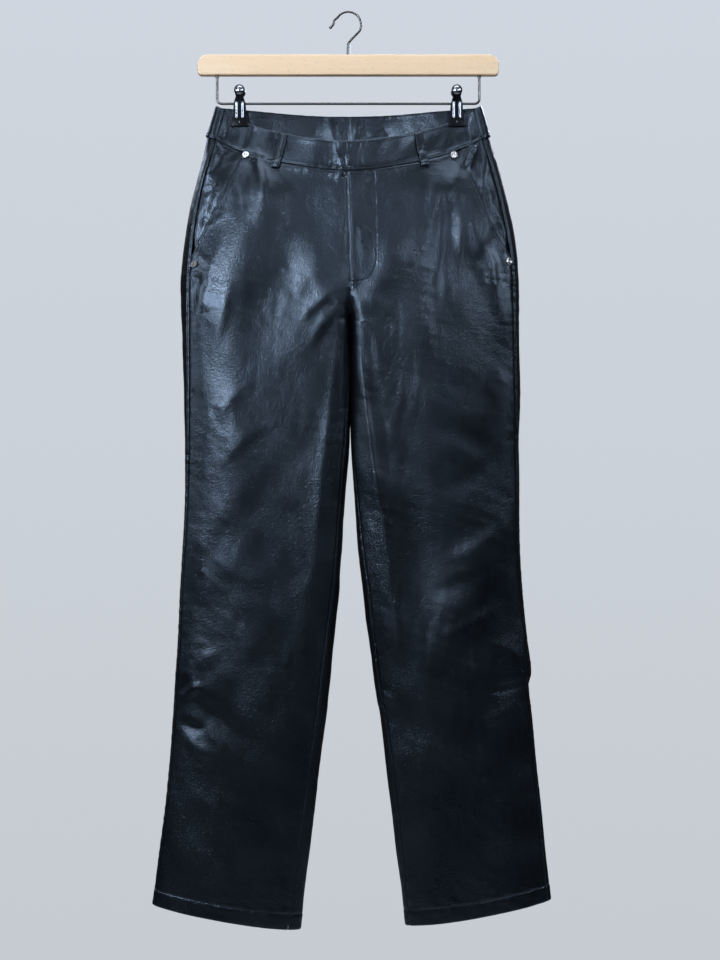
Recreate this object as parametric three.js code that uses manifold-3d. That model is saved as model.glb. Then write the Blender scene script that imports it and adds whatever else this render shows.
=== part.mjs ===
// Leather trousers hung by two clips from a wooden hanger, in millimetres.
// +Z is up, the wearer's front faces -Y, and +X is the right-hand side as seen from the front.
// The origin is the top of the hook's inside, where a rail carries the hanger.
import * as THREE from "three";
import { mergeVertices } from "three/addons/utils/BufferGeometryUtils.js";
import Module from "manifold-3d";

const wasm = await Module();
wasm.setup();

// Driving sizes of the cloth
const SEAM_GAP = 0.3; // between two pieces that meet
const PANEL_WALL = 1.4;
const BAND_WALL = 2.4; // the waistband is two layers with a stiffener between
const BAND_PROUD = 0.4; // how far the waistband's face stands out from the panels
const BAND_HEIGHT = 37.5;
const WAIST_Z = -158.7; // waist seam at the side folds
const FRONT_WAIST_DROP = 47.5; // how much lower the waist seam is at centre front
const BACK_WAIST_DROP = 13;
const WAIST_DROP_POWER = 1.75;
const WAIST_DROP_ENDS = [-170, -375]; // the rows lose the waist's curve between these heights
const HIP_TO_CROTCH = [-352, -396.8]; // the crotch seam turns under between these heights
const HEM_HEIGHT = 21; // turned-up allowance
const HEM_POWER = 1.45;
const HEM_ROWS_FROM = -820; // below this the rows take up the slope of the hem
const HEM = { left: { outer: -1140.5, drop: 31.2 }, right: { outer: -1133.8, drop: 32.7 } };
const EDGE_POWER = 2.8; // superellipse powers of the flattened tube, across and in depth
const DEPTH_POWER = 2.2;
const COLUMN_POWER = 2.1; // spreads the columns of the grids, closest at the edges

// Fly: the right front laps over the left, down to where both end
const FLY = {
  underlap: 8, underlapEnds: [-298, -333], liftEnds: [-335, -353],
  shoulder: [8, 32], // the overlap settles back to the body between these distances
};

// Clips pinch the two waistbands together
const CLIP_X = 138.7;
const PINCH = { flat: 13, inner: 100, outer: 42, from: -147, to: -240, half: 2.15, power: 8 };

// Outline of the two sides, from the front
const OUTLINE = table(["z", "left", "right"], [
  [-112, -164.5, 165.8],
  [-121, -167.2, 168.4],
  [-158.7, -179.5, 179.6],
  [-188, -186.8, 188.5],
  [-219, -194.8, 197.5],
  [-250, -201.9, 205.2],
  [-280, -207.6, 211.6],
  [-311, -211.5, 216.1],
  [-342, -214, 218],
  [-397, -213.4, 218.9],
  [-495, -210.4, 219.9],
  [-557, -208.9, 218.4],
  [-618, -209.2, 218.9],
  [-680, -211.5, 219.6],
  [-741, -215.3, 223.1],
  [-803, -217.9, 229.2],
  [-843, -220.7, 234],
  [-859, -221.5, 231],
  [-895, -223.6, 234.8],
  [-956, -228.1, 240.6],
  [-1018, -234.5, 247],
  [-1079, -242.4, 253.2],
  [-1140, -249.9, 260],
  [-1180, -254, 264.5],
]);

// Centre seam down to the crotch, then the inner edge of each leg
const INNER = table(["z", "left", "right"], [
  [-112, -2.75, -2.45],
  [-165, -2.45, -2.15],
  [-206, -1.15, -0.85],
  [-255, 0.85, 1.15],
  [-300, 2.25, 2.55],
  [-352, 2.85, 3.15],
  [-397, 2.4, 3.2],
  [-434, 2.2, 3.8],
  [-495, 1.5, 4.2],
  [-557, 0, 4.8],
  [-618, -3.7, 8.2],
  [-680, -7.6, 11.8],
  [-741, -11.8, 18.4],
  [-803, -18.2, 26.1],
  [-880, -25.5, 36.5],
  [-895, -27.1, 39.8],
  [-956, -35.5, 47.1],
  [-1018, -42.5, 54.8],
  [-1079, -50.2, 62.5],
  [-1140, -57.5, 70.1],
  [-1180, -62.3, 75.1],
]);

// How far in from the folds the seams lie, on the front
const SEAMS = table(["z", "sideLeft", "sideRight", "inLeft", "inRight"], [
  [-121, 11, 9, 0, 0],
  [-159, 12, 9.7, 0, 0],
  [-220, 9.5, 9.6, 0, 0],
  [-280, 11.4, 10, 0, 0],
  [-342, 12.4, 8.4, 0, 0],
  [-397, 11, 8, 0.8, 0.8],
  [-495, 7.7, 6.5, 4.5, 1.2],
  [-557, 5, 4.5, 7, 2],
  [-680, 2.6, 2.6, 7.6, 6.4],
  [-741, 2.4, 2.2, 9.2, 8.6],
  [-870, 2.2, 2.4, 12.6, 7],
  [-956, 2.2, 3.6, 13.2, 9],
  [-1079, 2.2, 5.6, 15.6, 7.9],
  [-1180, 2.2, 7, 15.8, 4.2],
]);

// Fullness in front of and behind the plane of the side folds
const DEPTH = table(["z", "front", "back"], [
  [-121, 25, 13],
  [-165, 27, 14],
  [-206, 29, 17],
  [-260, 32, 22],
  [-320, 34, 26],
  [-397, 33, 26],
  [-495, 29, 23],
  [-618, 25, 20],
  [-741, 22, 18],
  [-865, 21, 17],
  [-1000, 19, 16],
  [-1180, 17.5, 15],
]);

// The slanted pocket mouths, from the waist seam to the side seam
const POCKET = {
  left: table(["z", "x"], [[-160, -127.5], [-183, -136.1], [-245.5, -165.4], [-316, -200.2]]),
  right: table(["z", "x"], [[-160, 127], [-183, 138.6], [-208, 154.6], [-273, 182], [-312, 206.3]]),
};
const FACING = { underlap: 14, low: -306, under: 2.5, open: 0.8, rise: [3, 16] }; // rises clear of the mouth

// Folds: a ridge has a height above 0, a trough one below it; lengths and widths are half sizes
const FOLDS = records(["face", "x", "z", "turn", "length", "width", "height"], [
  ["front", -112, -232, 100, 48, 12, 3],
  ["front", -138, -300, 70, 95, 24, 4],
  ["front", -176, -262, 66, 60, 14, -2.5],
  ["front", -92, -350, 66, 110, 30, -3],
  ["front", -40, -330, 122, 70, 22, 2.5],
  ["front", 48, -330, 60, 70, 22, 2.5],
  ["front", 112, -242, 80, 52, 12, 3],
  ["front", 166, -262, 62, 42, 15, 3.2],
  ["front", 150, -330, 115, 95, 22, -3],
  ["front", 186, -352, 108, 60, 10, 2.6],
  ["front", 96, -430, 110, 130, 34, 2.6],
  ["front", -150, -520, 84, 140, 32, 2.6],
  ["front", 150, -742, 62, 110, 28, 3],
  ["front", 85, -690, 100, 150, 26, -2.6],
  ["front", -176, -890, 135, 46, 14, -3.4],
  ["front", -196, -862, 130, 40, 14, 2.6],
  ["front", -120, -800, 95, 160, 36, 2.2],
  ["front", 130, -960, 95, 140, 36, 2.2],
  ["back", -100, -330, 60, 80, 22, 3],
  ["back", 100, -330, 120, 80, 22, 3],
  ["back", -120, -420, 35, 80, 20, -3],
  ["back", 120, -420, 145, 80, 20, -3],
  ["back", -130, -830, 20, 70, 20, -3],
  ["back", 140, -830, 160, 70, 20, -3],
  ["back", -125, -620, 90, 150, 34, 2.4],
  ["back", 125, -620, 90, 150, 34, 2.4],
]);

// Hanger
const BAR = { width: 385, top: -53.8, bottom: -78.3, thick: 14, topRound: 13, lowRound: 5, bevel: 1.6 };
const HOOK = { wire: 3, radius: 16.5, stem: 2.3, stemTop: -40 };
const RAIL_WIRE = { radius: 1.7, halfSpan: 167.7, z: -116.2, bend: 6 };
const CLIP = {
  padTop: -134.2, padBottom: -146.8, padWide: 23.2, padNarrow: 19.6, padThick: 4.6,
  leaf: 1.5, leafFoot: 17.5, leafShoulder: 14.6, shoulderZ: -115.5, neck: 9.4, neckZ: -107.5,
  knobZ: -99, knobRadius: 6.9, knobRise: 3.2, ribX: 3.9, ribRadius: 2.1, barrel: 4.4, barrelLength: 12,
};

const LEATHER = new THREE.MeshStandardMaterial({ color: 0x16191d, roughness: 0.42, metalness: 0 });
const STEEL = new THREE.MeshStandardMaterial({ color: 0xc9c9c6, roughness: 0.2, metalness: 1 });
const BEECH = new THREE.MeshStandardMaterial({ color: 0xe6cba8, roughness: 0.55, metalness: 0 });
const RUBBER = new THREE.MeshStandardMaterial({ color: 0x0d0e10, roughness: 0.5, metalness: 0 });

// Tables and curves

function records(columns, rows) {
  return rows.map((row) => Object.fromEntries(columns.map((name, i) => [name, row[i]])));
}

// A table whose first column falls; each other column is a function of it, smooth through its rows.
function table(columns, rows) {
  const knots = rows.map((row) => -row[0]);
  const made = {};
  columns.slice(1).forEach((name, i) => {
    const values = rows.map((row) => row[i + 1]);
    made[name] = (z) => smoothThrough(knots, values, -z);
  });
  return made;
}

function smoothThrough(knots, values, at) {
  const last = knots.length - 1;
  const t = Math.min(Math.max(at, knots[0]), knots[last]);
  let i = 0;
  while (i < last - 1 && t > knots[i + 1]) i += 1;
  const slope = (j) => {
    const before = Math.max(j - 1, 0);
    const after = Math.min(j + 1, last);
    return (values[after] - values[before]) / (knots[after] - knots[before]);
  };
  const span = knots[i + 1] - knots[i];
  const u = (t - knots[i]) / span;
  const u2 = u * u;
  const u3 = u2 * u;
  return (2 * u3 - 3 * u2 + 1) * values[i] + (u3 - 2 * u2 + u) * span * slope(i)
    + (3 * u2 - 2 * u3) * values[i + 1] + (u3 - u2) * span * slope(i + 1);
}

// 0 before start, 1 after end, smooth between; start may be the larger.
function ease(value, start, end) {
  const t = Math.min(Math.max((value - start) / (end - start), 0), 1);
  return t * t * (3 - 2 * t);
}

// The garment's surface: for each face, a depth over the plane of the side folds

const signOf = (side) => (side === "left" ? -1 : 1);
const hip = (z) => 1 - ease(z, ...HIP_TO_CROTCH);

// 1 where front and back join across the middle, 0 where the legs are closed tubes
function join(z) {
  const [start, end] = HIP_TO_CROTCH;
  const t = Math.min(Math.max((z - start) / (end - start), 0), 1);
  return Math.sqrt(Math.max(0, 1 - t * t));
}

function pinch(x, z) {
  const away = Math.abs(x) - CLIP_X;
  const reach = away > 0 ? PINCH.outer : PINCH.inner;
  return (1 - ease(Math.abs(away), PINCH.flat, reach)) * (1 - ease(z, PINCH.from, PINCH.to));
}

function foldHeight(face, x, z) {
  let sum = 0;
  for (const fold of FOLDS) {
    if (fold.face !== face) continue;
    const turn = THREE.MathUtils.degToRad(fold.turn);
    const dx = x - fold.x;
    const dz = z - fold.z;
    const along = (dx * Math.cos(turn) + dz * Math.sin(turn)) / fold.length;
    const across = (dz * Math.cos(turn) - dx * Math.sin(turn)) / fold.width;
    sum += fold.height * Math.exp(-along * along - across * across);
  }
  return sum;
}

// Height of a superellipse at share s of its width, with its own powers across and in depth
function bulge(s, across, depth) {
  return Math.pow(Math.max(0, 1 - Math.pow(Math.abs(2 * s - 1), across)), 1 / depth);
}

function edges(side, z, inset) {
  const sign = signOf(side);
  return {
    inner: INNER[side](z) + sign * inset * (1 - join(z)),
    outer: OUTLINE[side](z) - sign * inset,
  };
}

// A point at share s across one side, from its inner edge at 0 to its fold at 1.
function cloth(side, face, s, z, inset, lift = 0) {
  const { inner, outer } = edges(side, z, inset);
  const x = inner + (outer - inner) * s;
  const within = Math.min(Math.max(s, 0), 1);
  const tube = bulge(within, EDGE_POWER, DEPTH_POWER);
  const share = within < 0.5 ? join(z) + (1 - join(z)) * tube : tube;
  const full = (DEPTH[face](z) - inset) * share;
  const flat = (PINCH.half - inset) * bulge(Math.max(within, 0.5), PINCH.power, PINCH.power);
  const depth = THREE.MathUtils.lerp(full, flat, pinch(x, z));
  const fold = foldHeight(face, x, z) * Math.min(1, share * 1.2) * (1 - pinch(x, z));
  const y = depth + fold + lift;
  return new THREE.Vector3(x, face === "front" ? -y : y, z);
}

// Even steps of turn round the tube give closer columns at its edges.
const signedPower = (value, power) => Math.sign(value) * Math.pow(Math.abs(value), power);
const turnOf = (s) => Math.acos(signedPower(1 - 2 * s, COLUMN_POWER / 2));
const shareOf = (turn) => 0.5 * (1 - signedPower(Math.cos(turn), 2 / COLUMN_POWER));

// Rows run from the waist seam, whose curve they follow, to the hem, whose slope they take up.
function rowHeight(side, face, level, s) {
  const within = Math.min(Math.max(s, 0), 1);
  const drop = face === "front" ? FRONT_WAIST_DROP : BACK_WAIST_DROP;
  const waist = (1 - Math.pow(within, WAIST_DROP_POWER)) * drop * (1 - ease(level, ...WAIST_DROP_ENDS));
  const hemShare = Math.min(Math.max((level - HEM_ROWS_FROM) / (HEM[side].outer - HEM_ROWS_FROM), 0), 1.05);
  const hem = (1 - Math.pow(within, HEM_POWER)) * HEM[side].drop * hemShare * hemShare;
  return level - waist - hem;
}

// Share across at which a side's seams lie, at the height that the row has there
function seamShare(side, face, level, place) {
  let s = place === "side" ? 0.95 : 0;
  for (let i = 0; i < 4; i += 1) {
    const z = rowHeight(side, face, level, s);
    const { inner, outer } = edges(side, z, 0);
    const name = side === "left" ? "Left" : "Right";
    const inset = SEAMS[(place === "side" ? "side" : "in") + name](z) / Math.abs(outer - inner);
    s = place === "side" ? 1 - inset : inset * (1 - hip(z));
  }
  return s;
}

function shareAtX(side, face, level, xOf) {
  let low = -0.2;
  let high = 1;
  for (let i = 0; i < 40; i += 1) {
    const middle = (low + high) / 2;
    const z = rowHeight(side, face, level, middle);
    const { inner, outer } = edges(side, z, 0);
    const x = inner + (outer - inner) * middle;
    if (Math.abs(x) < Math.abs(xOf(z))) low = middle;
    else high = middle;
  }
  return (low + high) / 2;
}

// Solids from grids of points

// A closed wall between an outer and an inner grid of the same size.
function wall(outer, inner) {
  const rows = outer.length;
  const columns = outer[0].length;
  const points = [...outer.flat(), ...inner.flat()];
  const at = (layer, row, column) => layer * rows * columns + row * columns + column;
  const faces = [];
  const quad = (a, b, c, d) => faces.push(a, b, c, a, c, d);
  for (let r = 0; r + 1 < rows; r += 1) {
    for (let c = 0; c + 1 < columns; c += 1) {
      quad(at(0, r, c), at(0, r + 1, c), at(0, r + 1, c + 1), at(0, r, c + 1));
      quad(at(1, r, c), at(1, r, c + 1), at(1, r + 1, c + 1), at(1, r + 1, c));
    }
    quad(at(0, r, 0), at(1, r, 0), at(1, r + 1, 0), at(0, r + 1, 0));
    const e = columns - 1;
    quad(at(0, r, e), at(0, r + 1, e), at(1, r + 1, e), at(1, r, e));
  }
  for (let c = 0; c + 1 < columns; c += 1) {
    quad(at(0, 0, c), at(0, 0, c + 1), at(1, 0, c + 1), at(1, 0, c));
    const e = rows - 1;
    quad(at(0, e, c), at(1, e, c), at(1, e, c + 1), at(0, e, c + 1));
  }
  const geometry = new THREE.BufferGeometry().setFromPoints(points);
  if (signedVolume(points, faces) < 0) faces.reverse();
  geometry.setIndex(faces);
  geometry.computeVertexNormals();
  return geometry;
}

function signedVolume(points, faces) {
  let sum = 0;
  for (let i = 0; i < faces.length; i += 3) {
    const [a, b, c] = [points[faces[i]], points[faces[i + 1]], points[faces[i + 2]]];
    sum += a.dot(new THREE.Vector3().crossVectors(b, c));
  }
  return sum / 6;
}

function solidOf(geometry) {
  const bare = geometry.clone();
  for (const name of ["normal", "uv"]) bare.deleteAttribute(name);
  const merged = mergeVertices(bare, 1e-4);
  return new wasm.Manifold(new wasm.Mesh({
    numProp: 3,
    vertProperties: new Float32Array(merged.attributes.position.array),
    triVerts: new Uint32Array(merged.index.array),
  }));
}

function geometryOf(solid) {
  const mesh = solid.getMesh();
  const geometry = new THREE.BufferGeometry();
  geometry.setAttribute("position", new THREE.BufferAttribute(new Float32Array(mesh.vertProperties), 3));
  geometry.setIndex(new THREE.BufferAttribute(new Uint32Array(mesh.triVerts), 1));
  geometry.computeVertexNormals();
  return geometry;
}

const union = (...geometries) => geometryOf(geometries.map(solidOf).reduce((sum, solid) => sum.add(solid)));

function node(name, geometry, material) {
  const mesh = new THREE.Mesh(geometry, material);
  mesh.name = name;
  return mesh;
}

// Legs

// Heights of the rows at the side fold, close together where the crotch seam turns under
function levels(side) {
  const [start, end] = HIP_TO_CROTCH;
  const made = [];
  const hipRows = 8;
  for (let i = 0; i < hipRows; i += 1) made.push(THREE.MathUtils.lerp(WAIST_Z, start, i / hipRows));
  const turnRows = 4;
  for (let i = 0; i <= turnRows; i += 1) {
    made.push(THREE.MathUtils.lerp(start, end, Math.sin((i / turnRows) * Math.PI / 2)));
  }
  const legRows = 18;
  const hemTop = HEM[side].outer + HEM_HEIGHT + 1;
  for (let i = 1; i <= legRows; i += 1) made.push(THREE.MathUtils.lerp(end, hemTop, i / legRows));
  made.push(HEM[side].outer + HEM_HEIGHT, HEM[side].outer);
  return made;
}

// Shrinks a share by half of the seam's gap, measured along the cloth.
function halfGap(side, face, level, s, towards) {
  const step = 0.002 * towards;
  const here = cloth(side, face, s, rowHeight(side, face, level, s), 0);
  const there = cloth(side, face, s + step, rowHeight(side, face, level, s + step), 0);
  return s + step * (SEAM_GAP / 2) / here.distanceTo(there);
}

const topGap = (row) => (row === 0 ? SEAM_GAP / 2 : 0);
const wallAt = (side, level) => PANEL_WALL * (level < HEM[side].outer + HEM_HEIGHT + 0.5 ? 2 : 1);

function flyLift(x, z) {
  const fromCentre = x - INNER.right(z);
  return (1 - ease(fromCentre, ...FLY.shoulder)) * (1 - ease(z, ...FLY.liftEnds));
}

function frontPanel(side) {
  const columns = 12;
  const grid = (isInner) => levels(side).map((level, row) => {
    const inset = isInner ? wallAt(side, level) : 0;
    const seam = seamShare(side, "front", level, "side");
    const mouth = shareAtX(side, "front", level, POCKET[side].x);
    const fold = level > -318 ? Math.min(mouth, seam) : seam;
    const start = turnOf(halfGap(side, "front", level, seamShare(side, "front", level, "in"), 1));
    const end = turnOf(halfGap(side, "front", level, fold, -1));
    return Array.from({ length: columns + 1 }, (_, i) => {
      const turn = THREE.MathUtils.lerp(start, end, i / columns);
      const atSeam = i === 0 && join(level) === 1 ? 0 : shareOf(turn);
      const z = rowHeight(side, "front", level, atSeam) - topGap(row);
      const x = cloth(side, "front", atSeam, z, inset).x;
      const under = side === "left" ? FLY.underlap * (1 - ease(z, ...FLY.underlapEnds)) : 0;
      const width = Math.abs(OUTLINE[side](z) - INNER[side](z));
      const s = atSeam - (under / width) * Math.max(0, 1 - atSeam / 0.12);
      const lift = side === "right" ? flyLift(x, z) * (PANEL_WALL + SEAM_GAP) : 0;
      return cloth(side, "front", s, z, inset, lift);
    });
  });
  return node(`front_panel_${side}`, wall(grid(false), grid(true)), LEATHER);
}

function backPanel(side) {
  const columns = 15;
  const grid = (isInner) => levels(side).map((level, row) => {
    const inset = isInner ? wallAt(side, level) : 0;
    const seam = halfGap(side, "front", level, seamShare(side, "front", level, "side"), 1);
    const inseam = halfGap(side, "front", level, seamShare(side, "front", level, "in"), -1);
    const start = turnOf(seam);
    const wrap = join(level) > 0 ? 0 : turnOf(Math.max(inseam, 0));
    const end = 2 * Math.PI + wrap;
    return Array.from({ length: columns + 1 }, (_, i) => {
      const round = THREE.MathUtils.lerp(start, end, i / columns);
      const onBack = round > Math.PI && round <= 2 * Math.PI;
      const turn = onBack ? 2 * Math.PI - round : round % (2 * Math.PI);
      const face = onBack ? "back" : "front";
      const s = i === columns && join(level) > 0 ? 0 : shareOf(turn);
      return cloth(side, face, s, rowHeight(side, face, level, s) - topGap(row), inset);
    });
  });
  return node(`back_panel_${side}`, wall(grid(false), grid(true)), LEATHER);
}

// The hip piece that shows inside the slanted mouth: below the front panel's wall beside the mouth,
// and nearly level with the back panel where it meets that at the side seam
function pocketFacing(side) {
  const columns = 6;
  const sign = signOf(side);
  const rowLevels = [...levels(side).filter((level) => level > FACING.low + 5), FACING.low];
  const grid = (isInner) => rowLevels.map((level, row) => {
    const start = shareAtX(side, "front", level, (z) => POCKET[side].x(z) - sign * FACING.underlap);
    const end = halfGap(side, "front", level, seamShare(side, "front", level, "side"), -1);
    return Array.from({ length: columns + 1 }, (_, i) => {
      const s = THREE.MathUtils.lerp(start, end, i / columns);
      const z = rowHeight(side, "front", level, s) - topGap(row);
      const past = sign * (cloth(side, "front", s, z, 0).x - POCKET[side].x(z));
      const depth = THREE.MathUtils.lerp(FACING.under, FACING.open, ease(past, ...FACING.rise));
      return cloth(side, "front", s, z, depth + (isInner ? PANEL_WALL : 0));
    });
  });
  return node(`pocket_facing_${side}`, wall(grid(false), grid(true)), LEATHER);
}

// Waistband

const BAND_ROWS = 3;

function bandPoint(side, face, s, row, isInner, lift = 0) {
  const seamZ = rowHeight(side, face, WAIST_Z, s) + SEAM_GAP / 2;
  const z = seamZ + (BAND_HEIGHT - SEAM_GAP) * (row / BAND_ROWS);
  return cloth(side, face, s, z, isInner ? BAND_WALL - BAND_PROUD : -BAND_PROUD, lift);
}

function frontBand(side) {
  const columns = 18;
  const grid = (isInner) => Array.from({ length: BAND_ROWS + 1 }, (_, row) => {
    const end = turnOf(halfGap(side, "front", WAIST_Z, seamShare(side, "front", WAIST_Z, "side"), -1));
    return Array.from({ length: columns + 1 }, (_, i) => {
      const along = shareOf(THREE.MathUtils.lerp(0, end, i / columns));
      const width = Math.abs(OUTLINE[side](WAIST_Z));
      const under = side === "left" ? (FLY.underlap / width) * Math.max(0, 1 - along / 0.12) : 0;
      const x = INNER.right(WAIST_Z) + along * width;
      const lift = side === "right" ? flyLift(x, WAIST_Z) * (BAND_WALL + SEAM_GAP) : 0;
      return bandPoint(side, "front", along - under, row, isInner, lift);
    });
  });
  return node(`waistband_front_${side}`, wall(grid(false), grid(true)), LEATHER);
}

// One band round the back, from the side seam on the front at the left to that at the right
function backBand() {
  const strip = 3;
  const half = 16;
  const grid = (isInner) => Array.from({ length: BAND_ROWS + 1 }, (_, row) => {
    const halfRow = (side) => {
      const seam = halfGap(side, "front", WAIST_Z, seamShare(side, "front", WAIST_Z, "side"), 1);
      const made = [];
      for (let i = 0; i < strip; i += 1) {
        const s = shareOf(THREE.MathUtils.lerp(turnOf(seam), Math.PI, i / strip));
        made.push(bandPoint(side, "front", s, row, isInner));
      }
      for (let i = 0; i <= half; i += 1) {
        const s = shareOf(Math.PI * (1 - i / half));
        made.push(bandPoint(side, "back", s, row, isInner));
      }
      return made;
    };
    const left = halfRow("left");
    left.pop(); // the middle is shared with the right half
    return [...left, ...halfRow("right").reverse()];
  });
  return node("waistband_back", wall(grid(false), grid(true)), LEATHER);
}

// Belt loops: strips over the waistband, made from its points and moved out

const LOOP = { width: 10.6, thick: 1.8, rise: 2.6, seat: 0.5, below: 8, rows: 8 };
const LOOPS = records(["name", "face", "topX", "lowX"], [
  ["belt_loop_front_left", "front", -82, -93],
  ["belt_loop_front_right", "front", 90, 98.5],
  ["belt_loop_back_left", "back", -84, -88],
  ["belt_loop_back_right", "back", 84, 88],
  ["belt_loop_back_centre", "back", -0.8, 0.6],
]);

// The outside of the pieces at a place seen from the front or the back, or null beside them
function outside(pieces, face, x, z) {
  const sign = face === "front" ? -1 : 1;
  let best = null;
  for (const { geometry } of pieces) {
    const place = geometry.attributes.position;
    const index = geometry.index;
    for (let i = 0; i < index.count; i += 3) {
      const [a, b, c] = [i, i + 1, i + 2].map(
        (k) => new THREE.Vector3().fromBufferAttribute(place, index.getX(k)));
      const area = (b.x - a.x) * (c.z - a.z) - (c.x - a.x) * (b.z - a.z);
      if (area === 0) continue;
      const v = ((x - a.x) * (c.z - a.z) - (c.x - a.x) * (z - a.z)) / area;
      const w = ((b.x - a.x) * (z - a.z) - (x - a.x) * (b.z - a.z)) / area;
      if (v < 0 || w < 0 || v + w > 1) continue;
      const y = a.y + v * (b.y - a.y) + w * (c.y - a.y);
      if (best === null || sign * y > sign * best) best = y;
    }
  }
  return best;
}

function waistSeamAt(face, x) {
  const side = x < 0 ? "left" : "right";
  const s = Math.abs(x / OUTLINE[side](WAIST_Z));
  return rowHeight(side, face, WAIST_Z, s);
}

function beltLoop({ name, face, topX, lowX }, pieces) {
  const half = LOOP.width / 2;
  const sign = face === "front" ? -1 : 1;
  const seam = waistSeamAt(face, (topX + lowX) / 2);
  const top = seam + BAND_HEIGHT - LOOP.below / 4;
  const low = seam - LOOP.below;
  const lean = Math.atan2(topX - lowX, top - low);
  const grid = (isOuter) => Array.from({ length: LOOP.rows + 1 }, (_, row) => {
    const t = row / LOOP.rows;
    const arch = Math.pow(Math.sin(Math.PI * t), 0.6) * LOOP.rise;
    const out = LOOP.seat + arch + (isOuter ? LOOP.thick : 0);
    return [-half, 0, half].map((across) => {
      const x = THREE.MathUtils.lerp(lowX, topX, t) + across * Math.cos(lean);
      const z = THREE.MathUtils.lerp(low, top, t) - across * Math.sin(lean);
      return new THREE.Vector3(x, outside(pieces, face, x, z) + sign * out, z);
    });
  });
  return node(name, wall(grid(true), grid(false)), LEATHER);
}

// Rivets at both ends of each pocket mouth

const RIVET = { radius: 4.9, thick: 1.9, dimple: 2.2 };
const RIVETS = records(["name", "x", "z"], [
  ["rivet_top_left", -130.4, -184.6],
  ["rivet_top_right", 134.9, -184.6],
  ["rivet_low_left", -194.6, -324.5],
  ["rivet_low_right", 203.6, -320.5],
]);

function rivet({ name, x, z }, pieces) {
  const { radius, thick, dimple } = RIVET;
  const profile = [
    [0, 0], [radius, 0], [radius, thick * 0.45], [radius * 0.8, thick],
    [dimple, thick], [dimple * 0.7, thick * 0.7], [0, thick * 0.7],
  ].map(([r, h]) => new THREE.Vector2(r, h));
  const at = (dx, dz) => new THREE.Vector3(x + dx, outside(pieces, "front", x + dx, z + dz), z + dz);
  const reach = radius * 0.7;
  const normal = new THREE.Vector3()
    .crossVectors(at(reach, 0).sub(at(-reach, 0)), at(0, reach).sub(at(0, -reach)))
    .normalize();
  const seat = at(0, 0);
  const rim = Array.from({ length: 16 }, (_, i) => at(
    radius * Math.cos((i * Math.PI) / 8), radius * Math.sin((i * Math.PI) / 8)));
  const highest = Math.max(0, ...rim.map((point) => point.sub(seat).dot(normal)));
  const mesh = node(name, new THREE.LatheGeometry(profile, 14), STEEL);
  mesh.position.copy(seat).addScaledVector(normal, SEAM_GAP + highest);
  mesh.quaternion.setFromUnitVectors(new THREE.Vector3(0, 1, 0), normal);
  return mesh;
}

// Hanger

// Points of a shape drawn in X and Y, turned to stand in X and Z with its depth along Y
const standUp = (geometry) => geometry.rotateX(Math.PI / 2);

function hangerBar() {
  const { width, top, bottom, thick, topRound, lowRound, bevel } = BAR;
  const right = width / 2 - bevel;
  const high = top - bevel;
  const low = bottom + bevel;
  const shape = new THREE.Shape();
  shape.moveTo(-right + lowRound, low);
  shape.lineTo(right - lowRound, low);
  shape.absarc(right - lowRound, low + lowRound, lowRound, -Math.PI / 2, 0, false);
  shape.absarc(right - topRound, high - topRound, topRound, 0, Math.PI / 2, false);
  shape.lineTo(-right + topRound, high);
  shape.absarc(-right + topRound, high - topRound, topRound, Math.PI / 2, Math.PI, false);
  shape.absarc(-right + lowRound, low + lowRound, lowRound, Math.PI, Math.PI * 1.5, false);
  const geometry = new THREE.ExtrudeGeometry(shape, {
    depth: thick - 2 * bevel, bevelThickness: bevel, bevelSize: bevel, bevelSegments: 2, curveSegments: 6,
  });
  geometry.translate(0, 0, -(thick / 2 - bevel));
  return node("hanger_bar", standUp(geometry), BEECH);
}

function tube(points, radius, steps) {
  const section = new THREE.Shape();
  section.absarc(0, 0, radius, 0, Math.PI * 2, false);
  const path = new THREE.CatmullRomCurve3(points, false, "centripetal");
  return new THREE.ExtrudeGeometry(section, { extrudePath: path, steps, curveSegments: 4 });
}

function cylinderBetween(from, to, radius, sides = 10) {
  const geometry = new THREE.CylinderGeometry(radius, radius, from.distanceTo(to), sides);
  const turn = new THREE.Quaternion().setFromUnitVectors(
    new THREE.Vector3(0, 1, 0), new THREE.Vector3().subVectors(to, from).normalize());
  geometry.applyQuaternion(turn);
  return geometry.translate(...new THREE.Vector3().addVectors(from, to).multiplyScalar(0.5).toArray());
}

const inPlane = (x, z) => new THREE.Vector3(x, 0, z);

function hangerHook() {
  const { wire, radius, stem, stemTop } = HOOK;
  const centreZ = wire / 2 - radius;
  const onArc = (degrees) => {
    const a = THREE.MathUtils.degToRad(degrees);
    return inPlane(radius * Math.cos(a), centreZ + radius * Math.sin(a));
  };
  const arc = Array.from({ length: 13 }, (_, i) => onArc(-32 + i * 15));
  const curl = [inPlane(-17.9, -9.6), inPlane(-18.4, -13), inPlane(-20.2, -16.2), inPlane(-22.4, -18.4)];
  const path = [inPlane(0, stemTop - 2), inPlane(0.4, stemTop + 1.5), inPlane(6.5, -31.5), ...arc, ...curl];
  const tip = new THREE.SphereGeometry(wire * 0.68, 10, 7).translate(-22.6, 0, -18.6);
  const ferrule = cylinderBetween(inPlane(0, BAR.top + SEAM_GAP), inPlane(0, stemTop), stem, 12);
  return node("hanger_hook", union(ferrule, tube(path, wire / 2, 42), tip), STEEL);
}

function clipRail() {
  const { radius, halfSpan, z, bend } = RAIL_WIRE;
  const parts = [cylinderBetween(inPlane(-halfSpan + bend, z), inPlane(halfSpan - bend, z), radius)];
  for (const sign of [-1, 1]) {
    const turn = new THREE.QuadraticBezierCurve3(
      inPlane(sign * (halfSpan - bend - 0.5), z),
      inPlane(sign * halfSpan, z),
      inPlane(sign * halfSpan, z + bend + 0.5));
    parts.push(tube(turn.getPoints(8), radius, 8));
    parts.push(cylinderBetween(
      inPlane(sign * halfSpan, z + bend), inPlane(sign * halfSpan, BAR.bottom - SEAM_GAP), radius));
  }
  return node("clip_rail", union(...parts), STEEL);
}

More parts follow.
